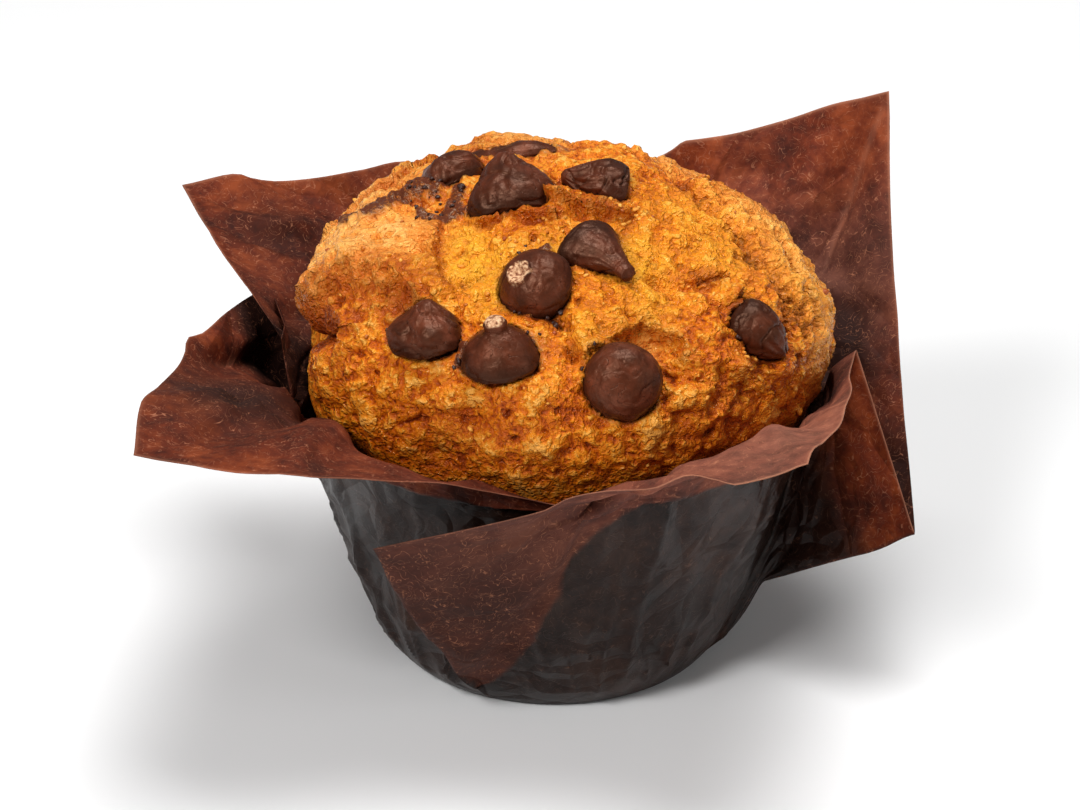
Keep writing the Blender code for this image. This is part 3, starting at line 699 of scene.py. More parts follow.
# Cracks: width, depth, then the compass angle and rise of each point.
CRACKS = (
    (2.6, 5.0, (186.0, 2.0), (197.0, 6.5), (213.0, 15.0), (229.0, 20.0)),
    (1.8, 2.0, (300.0, 50.0), (314.0, 42.0), (310.0, 22.0)),
    (2.2, 2.4, (60.0, 30.0), (85.0, 46.0), (120.0, 44.0)),
)
FINE_CRACKS = (
    (2.2, 5.4, (184.0, -1.0), (195.0, 6.0), (202.0, 12.0), (209.0, 16.0), (215.0, 20.0)),
    (0.8, 3.0, (313.0, 47.0), (317.0, 45.0), (321.0, 41.5), (319.0, 38.0)),
    (1.0, 2.4, (60.0, 60.0), (46.0, 61.0), (16.0, 62.5), (2.0, 59.0), (350.0, 54.0)),
    (1.1, 3.2, (346.0, 50.5), (337.0, 40.5), (333.0, 28.0), (326.0, 14.0)),
    (0.7, 1.6, (342.0, 27.0), (338.0, 20.0), (333.0, 11.0)),
    (0.8, 1.8, (314.0, 14.0), (319.0, 13.0), (324.0, 15.0)),
    (1.2, 2.2, (152.0, 40.0), (156.0, 48.0), (166.0, 52.0), (176.0, 54.0)),
    (1.0, 2.6, (343.0, 42.0), (338.0, 31.0), (334.0, 19.0), (330.0, 8.0)),
    (1.0, 2.6, (359.0, 40.0), (348.0, 31.0), (343.0, 20.0), (338.0, 9.0)),
    (1.1, 2.2, (355.0, 54.0), (345.0, 44.0), (334.0, 33.0)),
    (1.0, 2.4, (12.0, 40.0), (358.0, 27.0), (350.0, 10.0)),
    (0.8, 1.3, (262.0, 46.0), (270.0, 38.0), (272.0, 24.0)),
    (0.8, 1.1, (331.0, 67.0), (342.0, 56.0), (350.0, 47.0)),
    (0.8, 1.0, (15.0, 66.0), (5.0, 54.0), (2.0, 44.0)),
    (1.2, 1.6, (30.0, 20.0), (48.0, 34.0), (74.0, 30.0)),
    (1.2, 1.6, (132.0, 34.0), (150.0, 24.0), (158.0, 8.0)),
    (0.8, 1.5, (186.0, 60.0), (176.0, 50.0), (168.0, 34.0)),
    (0.7, 1.1, (232.0, -4.0), (243.0, 3.0), (252.0, 2.0)),
)

# Shelves, where a torn plate of crust ends in a step: height, how far back it slopes away, how
# far its lip hangs over, how wide its broken face is, then points, the high side being on the
# left as one goes along.
SHELVES = (
    (3.4, 7.0, 0.5, 4.4, (183.0, 3.0), (187.0, 9.0), (193.0, 17.0), (199.0, 24.0), (204.0, 32.0),
     (211.0, 39.0), (220.0, 42.0), (231.0, 40.0), (239.0, 36.0)),
    (2.2, 4.0, 1.4, 0.8, (186.0, 3.0), (195.0, 9.0), (203.0, 15.0), (211.0, 20.0), (220.0, 25.0)),
    (1.9, 7.0, 0.8, 0.6, (222.0, 25.0), (211.0, 15.0), (201.0, 10.0), (190.0, 2.0), (182.0, -6.0)),
    (1.6, 5.0, 0.6, 0.6, (240.0, 41.0), (231.0, 46.0), (221.0, 52.0), (211.0, 58.0), (203.0, 62.0)),
    (2.2, 3.2, 0.8, 0.6, (219.0, 63.0), (223.0, 67.0), (229.0, 70.5), (245.0, 72.5), (262.0, 73.5),
     (274.0, 73.0)),
    (3.0, 4.4, 1.0, 0.6, (160.0, 80.0), (200.0, 82.0), (237.0, 81.0), (260.0, 78.0), (282.0, 76.0),
     (297.0, 74.0), (308.0, 70.0), (318.0, 70.0)),
    (3.3, 6.0, 1.1, 1.2, (309.0, 9.0), (312.0, 20.0), (313.0, 27.0), (315.0, 33.0), (319.0, 40.0)),
    (1.7, 4.0, 0.5, 0.5, (323.0, 42.0), (318.0, 44.5), (314.0, 47.0), (306.0, 51.0)),
    (1.5, 3.0, 0.4, 0.6, (271.0, 26.0), (280.0, 31.0), (290.0, 38.0), (298.0, 30.0), (296.0, 20.0)),
    (1.4, 4.4, 0.4, 0.5, (118.0, 47.0), (84.0, 49.0), (60.0, 34.0)),
    (1.5, 4.4, 0.4, 0.5, (20.0, 24.0), (6.0, 46.0), (30.0, 62.0)),
    (1.5, 4.4, 0.4, 0.5, (168.0, 20.0), (150.0, 42.0), (120.0, 34.0)),
)


def dome_points(angles, rises):
    """dome_point over arrays."""
    a, r = np.radians(angles), np.radians(rises)
    tall = np.where(rises >= 0.0, DOME_RISE, DOME_UNDERCUT)
    flat = DOME_RADIUS * np.cos(r)
    return np.stack((flat * np.cos(a), flat * np.sin(a), DOME_EQUATOR + tall * np.sin(r)), 1)


def dome_normals(points):
    tall = np.where(points[:, 2] >= DOME_EQUATOR, DOME_RISE, DOME_UNDERCUT)
    n = points / DOME_RADIUS**2
    n[:, 2] = (points[:, 2] - DOME_EQUATOR) / tall**2
    return n / np.linalg.norm(n, axis=1, keepdims=True)


def near_route(points, normals, stops):
    """Distance of each point to a route of stops, which side, the share along, the way off."""
    best = np.full(len(points), 1e9)
    side = np.zeros(len(points))
    share = np.zeros(len(points))
    off = np.zeros_like(points)
    for i, (a, b) in enumerate(zip(stops, stops[1:])):
        along = b - a
        t = np.clip((points - a) @ along / (along @ along), 0.0, 1.0)
        away = points - a - t[:, None] * along
        far = np.linalg.norm(away, axis=1)
        left = np.cross(normals, along / np.linalg.norm(along))
        nearer = far < best
        best[nearer] = far[nearer]
        side[nearer] = np.sign((away * left).sum(1))[nearer]
        share[nearer] = ((i + t) / (len(stops) - 1))[nearer]
        off[nearer] = left[nearer]
    return best, side, share, off


def near_line(points, normals, route):
    """near_route along a route of compass angles and rises on the dome."""
    return near_route(points, normals, [np.array(dome_point(*place)) for place in route])


def bumps(points, table):
    height = np.zeros(len(points))
    for angle, rise, spread, tall in table:
        away = np.linalg.norm(points - np.array(dome_point(angle, rise)), axis=1)
        height += tall * np.exp(-0.5 * (away / spread) ** 2)
    return height


def dough_noise(points):
    """Lumps, clods, crumbs, grit, holes and wrinkles of the crust at each point, as an array."""
    found = np.zeros((len(points), 6))
    for i, p in enumerate(points):
        v = Vector(p)
        warped = v + noise.noise_vector(v / 3.2) * 1.1
        found[i, 0] = noise.fractal(v / 12.0, 1.0, 2.0, 2)
        found[i, 1] = abs(noise.noise(warped / 4.8)) * 1.6 + abs(noise.noise(warped / 2.3)) * 0.9
        near = noise.voronoi(warped / 1.45)[0]
        found[i, 2] = near[1] - near[0]
        found[i, 3] = noise.fractal(v / 1.25, 0.7, 2.2, 3)
        found[i, 4] = noise.noise(v / 2.1 + Vector((9.0, 3.0, 5.0)))
        found[i, 5] = ridged(Vector((v.x / 2.0 + v.y / 7.0, v.y / 5.0, v.z / 5.5)))
    return found


LOW_RISE = math.degrees(-math.asin((DOME_EQUATOR - RIM_HEIGHT) / DOME_UNDERCUT))
FLOOR_LATITUDE = -74.0
RIM_LATITUDE = -46.0
RELIEF_STARTS = -19.0
RELIEF_FULL = -6.0


class Dough:
    """The ball of dough, pressed into the cup and risen into the dome."""

    def __init__(self, directions):
        latitude = np.degrees(np.arcsin(np.clip(directions[:, 2], -1.0, 1.0)))
        self.angle = np.degrees(np.arctan2(directions[:, 1], directions[:, 0])) % 360.0
        up = np.clip((latitude - RIM_LATITUDE) / (90.0 - RIM_LATITUDE), 0.0, 1.0)
        self.rise = mix(LOW_RISE, 90.0, up)
        self.latitude = latitude
        self.up = up
        self.plain = dome_points(self.angle, self.rise)
        self.normal = dome_normals(self.plain)
        self.on_dome = latitude >= RIM_LATITUDE
        self.hold = smooth(RELIEF_STARTS, RELIEF_FULL, self.rise)

    def relief(self):
        """Height over the plain dome, the lips' overhang, and what the colours go by."""
        p, n = self.plain, self.normal
        coarse = bumps(p, SWELLS)
        for width, depth, *route in CRACKS[1:]:
            away, *_ = near_line(p, n, route)
            coarse -= depth * np.exp(-((away / width) ** 2))
        fine = bumps(p, DIMPLES)
        gaps = np.zeros(len(p))
        for width, depth, *route in FINE_CRACKS:
            away, _, share, _ = near_line(p, n, route)
            ends = smooth(0.0, 0.2, 1.0 - np.abs(share * 2.0 - 1.0))
            away = away + 0.5 * self.noise[:, 3]
            gaps += depth * np.exp(-((away / width) ** 2)) * ends
        lean = np.zeros_like(p)
        crest = np.zeros(len(p))
        face = np.zeros(len(p))
        for tall, back, hang, fall, *route in SHELVES:
            away, side, share, left = near_line(p, n, route)
            signed = away * side + 0.5 * self.noise[:, 3] + 1.1 * self.noise[:, 0]
            signed = signed + 0.4 * fall * self.noise[:, 4]
            ends = smooth(0.0, 0.25, 1.0 - np.abs(share * 2.0 - 1.0))
            step = smooth(-fall, 0.3 + 0.2 * fall, signed)
            fine += tall * step * np.exp(-np.maximum(signed, 0.0) / back) * ends
            lip = np.exp(-((np.maximum(signed, 0.0) / 2.0) ** 2)) * smooth(-0.4, 0.5, signed) * ends
            lean -= left * (hang * lip)[:, None]
            crest = np.maximum(crest, lip)
            middle = np.exp(-(((signed + 0.4 * fall) / (0.3 * tall + 0.4 * fall)) ** 2))
            face = np.maximum(face, middle * ends)
        return coarse, fine - gaps, lean, crest, face, gaps

    def build(self):
        self.noise = np.zeros((len(self.plain), 6))
        shown = self.rise > RELIEF_STARTS
        self.noise[shown] = dough_noise(self.plain[shown])
        lumps, clods, crumbs, grit, holes, wrinkles = self.noise.T
        coarse, fine, lean, crest, face, gaps = self.relief()
        torn = 0.55 + 0.45 * smooth(-0.25, 0.35, lumps + 0.4 * holes)
        crumb = (np.clip(crumbs * 1.5, 0.0, 0.9) * 0.5 + grit * 0.2) * torn
        pits = smooth(0.42, 0.62, holes) * 0.9
        fibres = paint(self.plain, FIBRED)
        crumb = mix(crumb, 0.3 * crumb + 0.5 * wrinkles, np.clip(fibres, 0.0, 1.0))
        pale = np.clip(paint(self.plain, PALE), 0.0, 1.0)
        crumb *= 1.0 - 0.5 * pale
        clods = clods * (1.0 - 0.5 * np.clip(fibres, 0.0, 1.0)) + 0.25 * fibres
        height = coarse + fine + (1.0 * lumps + 1.2 * clods + crumb - pits - 1.0)
        p = self.plain + self.normal * (height * self.hold)[:, None] + lean * self.hold[:, None]
        self.fine_height = crumb + 1.1 * clods - pits
        self.crest, self.face, self.gaps = crest, face, gaps
        return self.fit_cup(p)

    def fit_cup(self, p):
        """Below the rim the dough takes the cup's shape, and it comes out of it smoothly."""
        floor = CAD_PAPER + WALL_GAP
        for i in np.nonzero(self.latitude < mix(RIM_LATITUDE, 90.0, 0.17))[0]:
            angle, latitude = self.angle[i], self.latitude[i]
            if latitude < FLOOR_LATITUDE:
                share = (latitude + 90.0) / (FLOOR_LATITUDE + 90.0)
                p[i] = cup_point(angle, (cup_radius(floor) - 3.0) * share, floor)
            elif latitude < RIM_LATITUDE:
                up = (latitude - FLOOR_LATITUDE) / (RIM_LATITUDE - FLOOR_LATITUDE)
                z = mix(floor, RIM_HEIGHT, up**1.3)
                inset = WALL_GAP + 3.0 * (1.0 - smooth(0.0, 4.0, z - floor))
                p[i] = cup_point(angle, cup_radius(z) - inset, z)
            else:
                rim = np.array(cup_point(angle, RIM_RADIUS - WALL_GAP, RIM_HEIGHT))
                low = np.array(dome_point(angle, LOW_RISE))
                p[i] += (rim - low) * (1.0 - smooth(0.0, 0.16, self.up[i]))
        return p


# Chocolate that has run out over the crust: half width, thickness, then angle and rise of points.
SMEARS = (
    (2.8, 1.5, (174.0, 60.0), (173.0, 55.0), (178.0, 51.0), (184.0, 48.0)),
    (1.9, 1.2, (177.0, 41.0), (179.0, 39.0)),
    (1.4, 0.7, (204.0, 63.0), (199.0, 60.0), (195.0, 58.0)),
    (1.6, 0.7, (181.0, 67.0), (190.0, 66.0), (200.0, 65.0)),
    (0.9, 0.5, (262.0, 62.0), (256.0, 58.0)),
    (0.8, 0.5, (246.0, 28.0), (246.0, 24.0)),
)


def run_smears(dough, p):
    """Raises the runs of melted chocolate on the crust, and says where they are."""
    covered = np.zeros(len(p))
    for wide, thick, *route in SMEARS:
        away, *_ = near_line(dough.plain, dough.normal, route)
        away = away + 1.2 * dough.noise[:, 4] + 0.15 * dough.noise[:, 3]
        spread = 1.0 - smooth(0.6 * wide, 1.1 * wide, away)
        covered = np.maximum(covered, spread)
        p += dough.normal * (thick * np.sqrt(spread))[:, None]
    return covered


def sink_sockets(dough, p):
    """Press the crust down round each chip, and mark where chocolate has melted into it."""
    smear = np.zeros(len(p))
    rim = np.zeros(len(p))
    for number, chip in enumerate(CHIPS):
        place = chip_place(chip[0], chip[1], *chip[4:7])
        back = place.inverted()
        middle = np.array(place.translation) / MM
        size = chip[2] * max(CHIP_LOOKS[number][1], chip[3] * 0.75) + 3.5
        for i in np.nonzero(np.linalg.norm(p - middle, axis=1) < size)[0]:
            down = Vector(-dough.normal[i])
            spot = Vector(p[i])
            depth = 0.0
            gap = inside_chip(back @ (spot * MM) / MM, number)
            rim[i] = max(rim[i], 1.0 - float(smooth(-0.2, 1.1, gap)))
            while gap < 0.05 and depth < 9.0:
                depth += 0.3
                gap = inside_chip(back @ ((spot + down * depth) * MM) / MM, number)
            p[i] = spot + down * depth
        smear += melt_marks(p, middle, number + 1)
    return rim, smear


def melt_marks(p, middle, number):
    """Where chip number has left melted chocolate on the crumb beside it."""
    marks = {
        2: (((-5.5, -3.5, -3.0), 3.0), ((-9.5, -4.5, -6.0), 2.4), ((0.0, -6.5, -2.0), 2.6)),
        6: (((0.0, 5.5, 1.0), 1.6), ((2.5, -5.0, -2.5), 1.6)),
        7: (((5.5, 0.0, 1.0), 1.5), ((-5.5, 0.0, -1.0), 1.2)),
        8: (((2.0, -5.0, -3.0), 1.4),),
        9: (((-4.0, 1.0, 4.0), 1.4),),
    }
    amount = np.zeros(len(p))
    for shift, spread in marks.get(number, ()):
        away = np.linalg.norm(p - middle - np.array(shift), axis=1)
        amount += np.exp(-0.5 * (away / spread) ** 2)
    return amount


# Where the crust has browned most, with painted shade in the crack and on the broken face under the
# left lobe (the spots from 188 to 226 degrees) and in the fine crack at 318, 45; and where pale
# crumb
# shows: angle, rise, spread, amount.
BROWNED_AND_SHADED = (
    (195.0, 6.0, 1.6, 1.5), (202.0, 11.5, 1.6, 1.5), (209.0, 16.0, 1.4, 1.3),
    (195.0, 12.0, 2.6, 1.0), (201.0, 18.0, 2.4, 0.6), (208.0, 24.0, 2.2, 0.5),
    (216.0, 30.0, 2.2, 0.5), (188.0, 4.0, 3.0, 1.1), (226.0, 33.0, 2.6, 0.9),
    (222.0, 44.0, 2.0, 0.4), (219.0, 6.0, 9.0, 0.2), (210.0, 18.0, 2.4, 0.9),
    (318.0, 45.0, 1.6, 0.8),
    (300.0, 77.0, 5.0, 0.45), (250.0, 72.0, 4.0, 0.4), (128.0, 58.0, 9.0, 0.3),
    (250.0, -8.0, 12.0, 0.45), (300.0, -8.0, 12.0, 0.45), (340.0, -6.0, 10.0, 0.4),
    (60.0, 20.0, 14.0, 0.4), (120.0, 20.0, 14.0, 0.4), (20.0, 0.0, 12.0, 0.3),
)
PALE = (
    (236.0, 54.0, 4.2, 1.0), (224.0, 60.0, 3.2, 0.8), (248.0, 47.0, 3.0, 0.8),
    (297.0, 58.0, 5.0, 0.8), (346.0, 60.0, 6.0, 0.5), (295.0, 45.0, 3.4, 0.6),
    (330.0, 50.0, 6.0, 0.45), (345.0, 25.0, 7.0, 0.35), (276.0, 36.0, 4.0, 0.35),
    (262.0, 62.0, 2.4, 0.8),
)


# Where the crust is drawn out in fine wrinkles instead of crumbs.
FIBRED = (
    (186.0, 34.0, 7.0, 1.0), (202.0, 47.0, 5.0, 1.0), (176.0, 24.0, 6.0, 0.9),
    (352.0, 26.0, 7.0, 0.7), (10.0, 40.0, 7.0, 0.7), (160.0, 40.0, 8.0, 0.7),
    (344.0, 4.0, 5.0, 0.7), (290.0, 31.0, 1.8, 1.0), (28.0, 30.0, 8.0, 0.5),
    (50.0, 46.0, 8.0, 0.5), (110.0, 62.0, 6.0, 0.6),
)


def paint(points, table):
    """Like bumps, but the marks don't add up past the strongest."""
    amount = np.zeros(len(points))
    for angle, rise, spread, strength in table:
        away = np.linalg.norm(points - np.array(dome_point(angle, rise)), axis=1)
        amount = np.maximum(amount, strength * np.exp(-0.5 * (away / spread) ** 2))
    return amount


def make_dough(material):
    """A finely cut cube is blown up to a ball, and the ball is shaped into the muffin."""
    bm = bmesh.new()
    bmesh.ops.create_cube(bm, size=2.0)
    bmesh.ops.subdivide_edges(bm, edges=bm.edges, cuts=DOUGH_CUTS, use_grid_fill=True)
    cube = np.array([v.co for v in bm.verts])
    ball = np.tan(cube * math.pi / 4.0)
    ball /= np.linalg.norm(ball, axis=1, keepdims=True)
    dough = Dough(ball)
    p = dough.build()
    run = run_smears(dough, p)
    rim, smear = sink_sockets(dough, p)
    # Height drives the crust's colour: partly the crumb's own tone, partly painted shade in the
    # hollows and cracks and a painted highlight on the crests.
    relief_tone_and_shade = np.clip((dough.fine_height - 0.7) * 0.55 + 0.5 - 0.3 * dough.gaps, 0.0, 1.0)
    layers = {
        "toast_and_shade": paint(dough.plain, BROWNED_AND_SHADED) + 0.35 * np.clip(dough.crest, 0.0, 1.0),
        "pale": paint(dough.plain, PALE) * (0.8 + 0.5 * dough.noise[:, 3]),
        "high": relief_tone_and_shade,
        # Broken faces of the steps, under their lips, painted darker orange as shade.
        "face": np.clip(dough.face, 0.0, 1.0),
        "choc": np.clip(0.9 * rim + 0.6 * smear * (0.7 + dough.noise[:, 3]) + 1.2 * run, 0.0, 1.2),
        "skin": np.clip(paint(dough.plain, FIBRED), 0.0, 1.0),
        # Painted shade at the foot of the dome, beside the paper.
        "low": 1.0 - smooth(-16.0, -5.0, dough.rise),
    }
    marks = {name: bm.verts.layers.float.new(name) for name in layers}
    for i, v in enumerate(bm.verts):
        v.co = p[i]
        for name, values in layers.items():
            v[marks[name]] = float(values[i])
    bmesh.ops.recalc_face_normals(bm, faces=bm.faces)
    return finish_piece("muffin_crust", bm, material), dough, p, layers["choc"]


# ---------------------------------------------------------------------------
# Chips
# ---------------------------------------------------------------------------

# Each chip: compass angle and rise of its place, radius, height as a share of it, the compass
# angle that its tip leans to, its lean from the crust's normal, and how far its middle stands out.
CHIPS = (
    (121.0, 69.0, 5.0, 0.7, 90.0, 8.0, -0.5),
    (158.0, 63.0, 5.2, 1.3, 120.0, 30.0, 0.5),
    (209.0, 77.0, 6.7, 1.7, 96.0, 40.0, 2.4),
    (0.0, 83.0, 5.5, 1.9, 184.0, 74.0, 0.9),
    (284.0, 60.0, 5.2, 2.3, 309.0, 74.0, 1.4),
    (259.5, 50.5, 6.0, 1.25, 200.0, 30.0, 1.1),
    (254.5, 29.0, 5.9, 1.45, 82.0, 38.0, 1.7),
    (235.2, 30.0, 5.3, 1.5, 60.0, 42.0, 1.6),
    (282.0, 18.8, 5.9, 1.05, 282.0, 10.0, 1.6),
    (318.0, 25.5, 4.1, 2.6, 332.0, 80.0, 0.9),
    (72.0, 22.0, 6.0, 1.4, 60.0, 40.0, -0.8),
    (100.0, 14.0, 6.2, 1.2, 80.0, 30.0, 1.0),
    (126.0, 6.0, 5.8, 1.5, 20.0, 60.0, 0.8),
    (40.0, 6.0, 5.9, 1.4, 60.0, 50.0, -1.8),
)
CHIP_MIDDLE = 0.4          # share of a chip's height that lies below its middle
CHIP_SINK = 1.5            # of every chip's middle under the crust, before its own stand

# Outlines from the flat back to the tip, as shares of a chip's radius and height.
OUTLINES = {
    "drop": ((0.0, 0.66, 0.93, 1.0, 0.95, 0.8, 0.58, 0.36, 0.2, 0.0),
             (0.0, 0.0, 0.06, 0.18, 0.36, 0.53, 0.7, 0.84, 0.95, 1.0)),
    "kiss": ((0.0, 0.68, 0.94, 1.0, 0.9, 0.68, 0.44, 0.29, 0.26, 0.0),
             (0.0, 0.0, 0.05, 0.14, 0.28, 0.46, 0.64, 0.8, 0.94, 1.0)),
    "button": ((0.0, 0.7, 0.95, 1.0, 0.93, 0.74, 0.5, 0.27, 0.3, 0.2, 0.0),
               (0.0, 0.0, 0.05, 0.14, 0.3, 0.5, 0.66, 0.77, 0.88, 0.98, 1.0)),
    "crater": ((0.0, 0.66, 0.92, 1.0, 0.96, 0.82, 0.6, 0.36, 0.32, 0.2, 0.0),
               (0.0, 0.0, 0.07, 0.22, 0.45, 0.68, 0.84, 0.92, 1.0, 0.97, 0.86)),
    "nib": ((0.0, 0.55, 0.82, 0.96, 1.0, 0.94, 0.78, 0.54, 0.26, 0.0),
            (0.0, 0.02, 0.1, 0.22, 0.38, 0.54, 0.7, 0.85, 0.95, 1.0)),
    "dome": ((0.0, 0.64, 0.92, 1.0, 0.97, 0.85, 0.65, 0.36, 0.0),
             (0.0, 0.0, 0.08, 0.25, 0.47, 0.68, 0.85, 0.96, 1.0)),
}

# How each chip came out of the oven: its outline, how far it has spread along and across its
# lean, how far its tip is bent, how lumpy and how creased it is, and the size of its pale end.
CHIP_LOOKS = (
    ("dome", 1.65, 0.75, 0.0, 0.8, 0.0, 0.0),
    ("dome", 1.0, 1.0, 0.1, 0.8, 0.3, 0.0),
    ("drop", 1.08, 0.9, 0.05, 0.5, 0.5, 0.0),
    ("drop", 1.0, 0.8, 0.0, 0.4, 1.0, 0.0),
    ("kiss", 1.05, 0.8, 0.35, 0.3, 0.2, 0.0),
    ("crater", 1.0, 1.0, 0.0, 0.4, 0.1, 2.1),
    ("button", 1.05, 1.0, 0.0, 0.35, 0.1, 1.9),
    ("drop", 1.1, 0.95, 0.1, 1.1, 0.4, 0.0),
    ("dome", 1.0, 1.0, 0.0, 0.35, 0.0, 0.0),
    ("nib", 1.0, 1.0, 0.0, 0.3, 0.5, 0.0),
    ("drop", 1.0, 1.0, 0.2, 0.6, 0.3, 0.0),
    ("dome", 1.0, 1.1, 0.0, 0.7, 0.2, 0.0),
    ("kiss", 1.0, 1.0, 0.3, 0.4, 0.2, 0.0),
    ("drop", 1.0, 1.0, 0.1, 0.6, 0.4, 0.0),
)
CHIP_AROUND = 88
CHIP_UP = 64


def crust_point(angle, rise):
    """Point of the dome with the CAD's lumps and cracks, where the chips are set."""
    p = np.array([dome_point(angle, rise)])
    n = dome_normals(p)
    height = bumps(p, SWELLS)[0]
    for width, depth, *route in CRACKS:
        away, *_ = near_line(p, n, route)
        height -= depth * math.exp(-((away[0] / width) ** 2))
    return Vector(p[0] + n[0] * height * smooth(RELIEF_STARTS, RELIEF_FULL, rise))


def chip_place(angle, rise, lean_to, lean, stand):
    """Matrix that sets a drop, made upright on its own middle, into the crust."""
    p = crust_point(angle, rise)
    out = dome_normal(dome_point(angle, rise))
    towards = compass(lean_to)
    towards = (towards - out * towards.dot(out)).normalized()
    tip = out * math.cos(math.radians(lean)) + towards * math.sin(math.radians(lean))
    side = tip.cross(out).normalized()
    turn = Matrix((side, tip.cross(side), tip)).transposed().to_4x4()
    return Matrix.Translation((p + out * (stand - CHIP_SINK)) * MM) @ turn


def inside_chip(q, number):
    """How far q, in a chip's own frame, is outside the chip's plain shape. Negative is inside."""
    radius, tall = CHIPS[number][2], CHIPS[number][2] * CHIPS[number][3]
    kind, along, across, curl, *_ = CHIP_LOOKS[number]
    shares, heights = OUTLINES[kind]
    h = q.z / tall + CHIP_MIDDLE
    high = max(q.z / tall, 0.0)
    out = math.hypot(q.x / along, (q.y - curl * radius * high * high * 2.0) / across)
    if h < 0.0:
        return max(-h * tall, out - 0.62 * radius)
    if h > 1.0:
        return max((h - 1.0) * tall, out)
    return out - radius * float(np.interp(h, heights[1:], shares[1:]))


def make_chip(number, material):
    """A round ball is drawn out to a drop of chocolate, bent, creased and partly melted."""
    angle, rise, radius, share, lean_to, lean, stand = CHIPS[number]
    kind, along, across, curl, lumpy, creased, pale_size = CHIP_LOOKS[number]
    shares, heights = OUTLINES[kind]
    tall = radius * share
    rng = random.Random(40 + number)
    shift = Vector((rng.random(), rng.random(), rng.random())) * 60.0
    bm = bmesh.new()
    bmesh.ops.create_uvsphere(bm, u_segments=CHIP_AROUND, v_segments=CHIP_UP, radius=1.0)
    pale = bm.verts.layers.float.new("pale")
    low = bm.verts.layers.float.new("low")
    knots = np.linspace(0.0, 1.0, len(shares))
    tip = Vector((0.0, curl * radius * 0.72, tall * (1.0 - CHIP_MIDDLE)))
    for v in bm.verts:
        d = v.co.normalized()
        up = math.asin(max(-1.0, min(1.0, d.z))) / math.pi + 0.5
        turn = math.atan2(d.y, d.x)
        r = radius * float(np.interp(up, knots, shares))
        h = float(np.interp(up, knots, heights))
        p = Vector((r * math.cos(turn), r * math.sin(turn), tall * (h - CHIP_MIDDLE)))
        high = max(p.z / tall, 0.0)
        p = Vector((p.x * along, p.y * across + curl * radius * high * high * 2.0, p.z))
        out = Vector((math.cos(turn) * math.cos((up - 0.5) * math.pi),
                      math.sin(turn) * math.cos((up - 0.5) * math.pi),
                      math.sin((up - 0.5) * math.pi)))
        wave = lumpy * (0.9 * noise.noise(p / 5.0 + shift) + 0.35 * noise.noise(p / 2.2 + shift))
        wave += 0.07 * noise.noise(p / 0.7 + shift)
        bend = noise.noise(p / 4.0 + shift * 1.7)
        flutes = math.cos(13.0 * turn + 5.0 * bend)
        wave += 0.2 * creased * flutes * float(smooth(0.25, 0.5, up) * smooth(0.0, 0.3, 0.95 - up))
        fold = abs(noise.noise(p / 3.4 + shift * 2.3))
        wave -= 0.45 * (0.4 + creased) * (1.0 - float(smooth(0.0, 0.07, fold)))
        if kind == "button" and up > 0.75:
            wave *= 0.4
        p += out * wave
        # Painted shade: the chip is darker towards its foot.
        v[low] = 1.0 - float(smooth(0.1, 0.55, h))
        if pale_size:
            edge = pale_size * (1.0 + 0.3 * noise.noise(p / 1.1 + shift))
            v[pale] = 1.0 - float(smooth(edge * 0.85, edge * 1.05, (p - tip).length))
        v.co = p
    bmesh.ops.scale(bm, vec=(MM, MM, MM), verts=bm.verts)
    bmesh.ops.transform(
        bm, matrix=chip_place(angle, rise, lean_to, lean, stand), verts=bm.verts)
    bmesh.ops.scale(bm, vec=(1.0 / MM,) * 3, verts=bm.verts)
    bmesh.ops.recalc_face_normals(bm, faces=bm.faces)
    return finish_piece(f"chocolate_{number + 1:02d}", bm, material)


# ---------------------------------------------------------------------------
# Crumbs
# ---------------------------------------------------------------------------

# Each patch of loose crumbs: compass angle, rise, spread, how many.
CRUMB_PATCHES = (
    (262.0, 42.0, 4.5, 60), (246.0, 40.0, 3.6, 40), (244.0, 26.0, 3.6, 40), (262.0, 22.0, 3.4, 24),
    (270.0, 56.0, 4.2, 50), (276.0, 27.0, 3.6, 40), (180.0, 62.0, 5.0, 90), (200.0, 60.0, 5.0, 60),
    (312.0, 20.0, 3.4, 40), (322.0, 17.0, 3.2, 36), (250.0, 66.0, 6.0, 50), (320.0, 74.0, 5.0, 40),
)
SCATTERED = 140


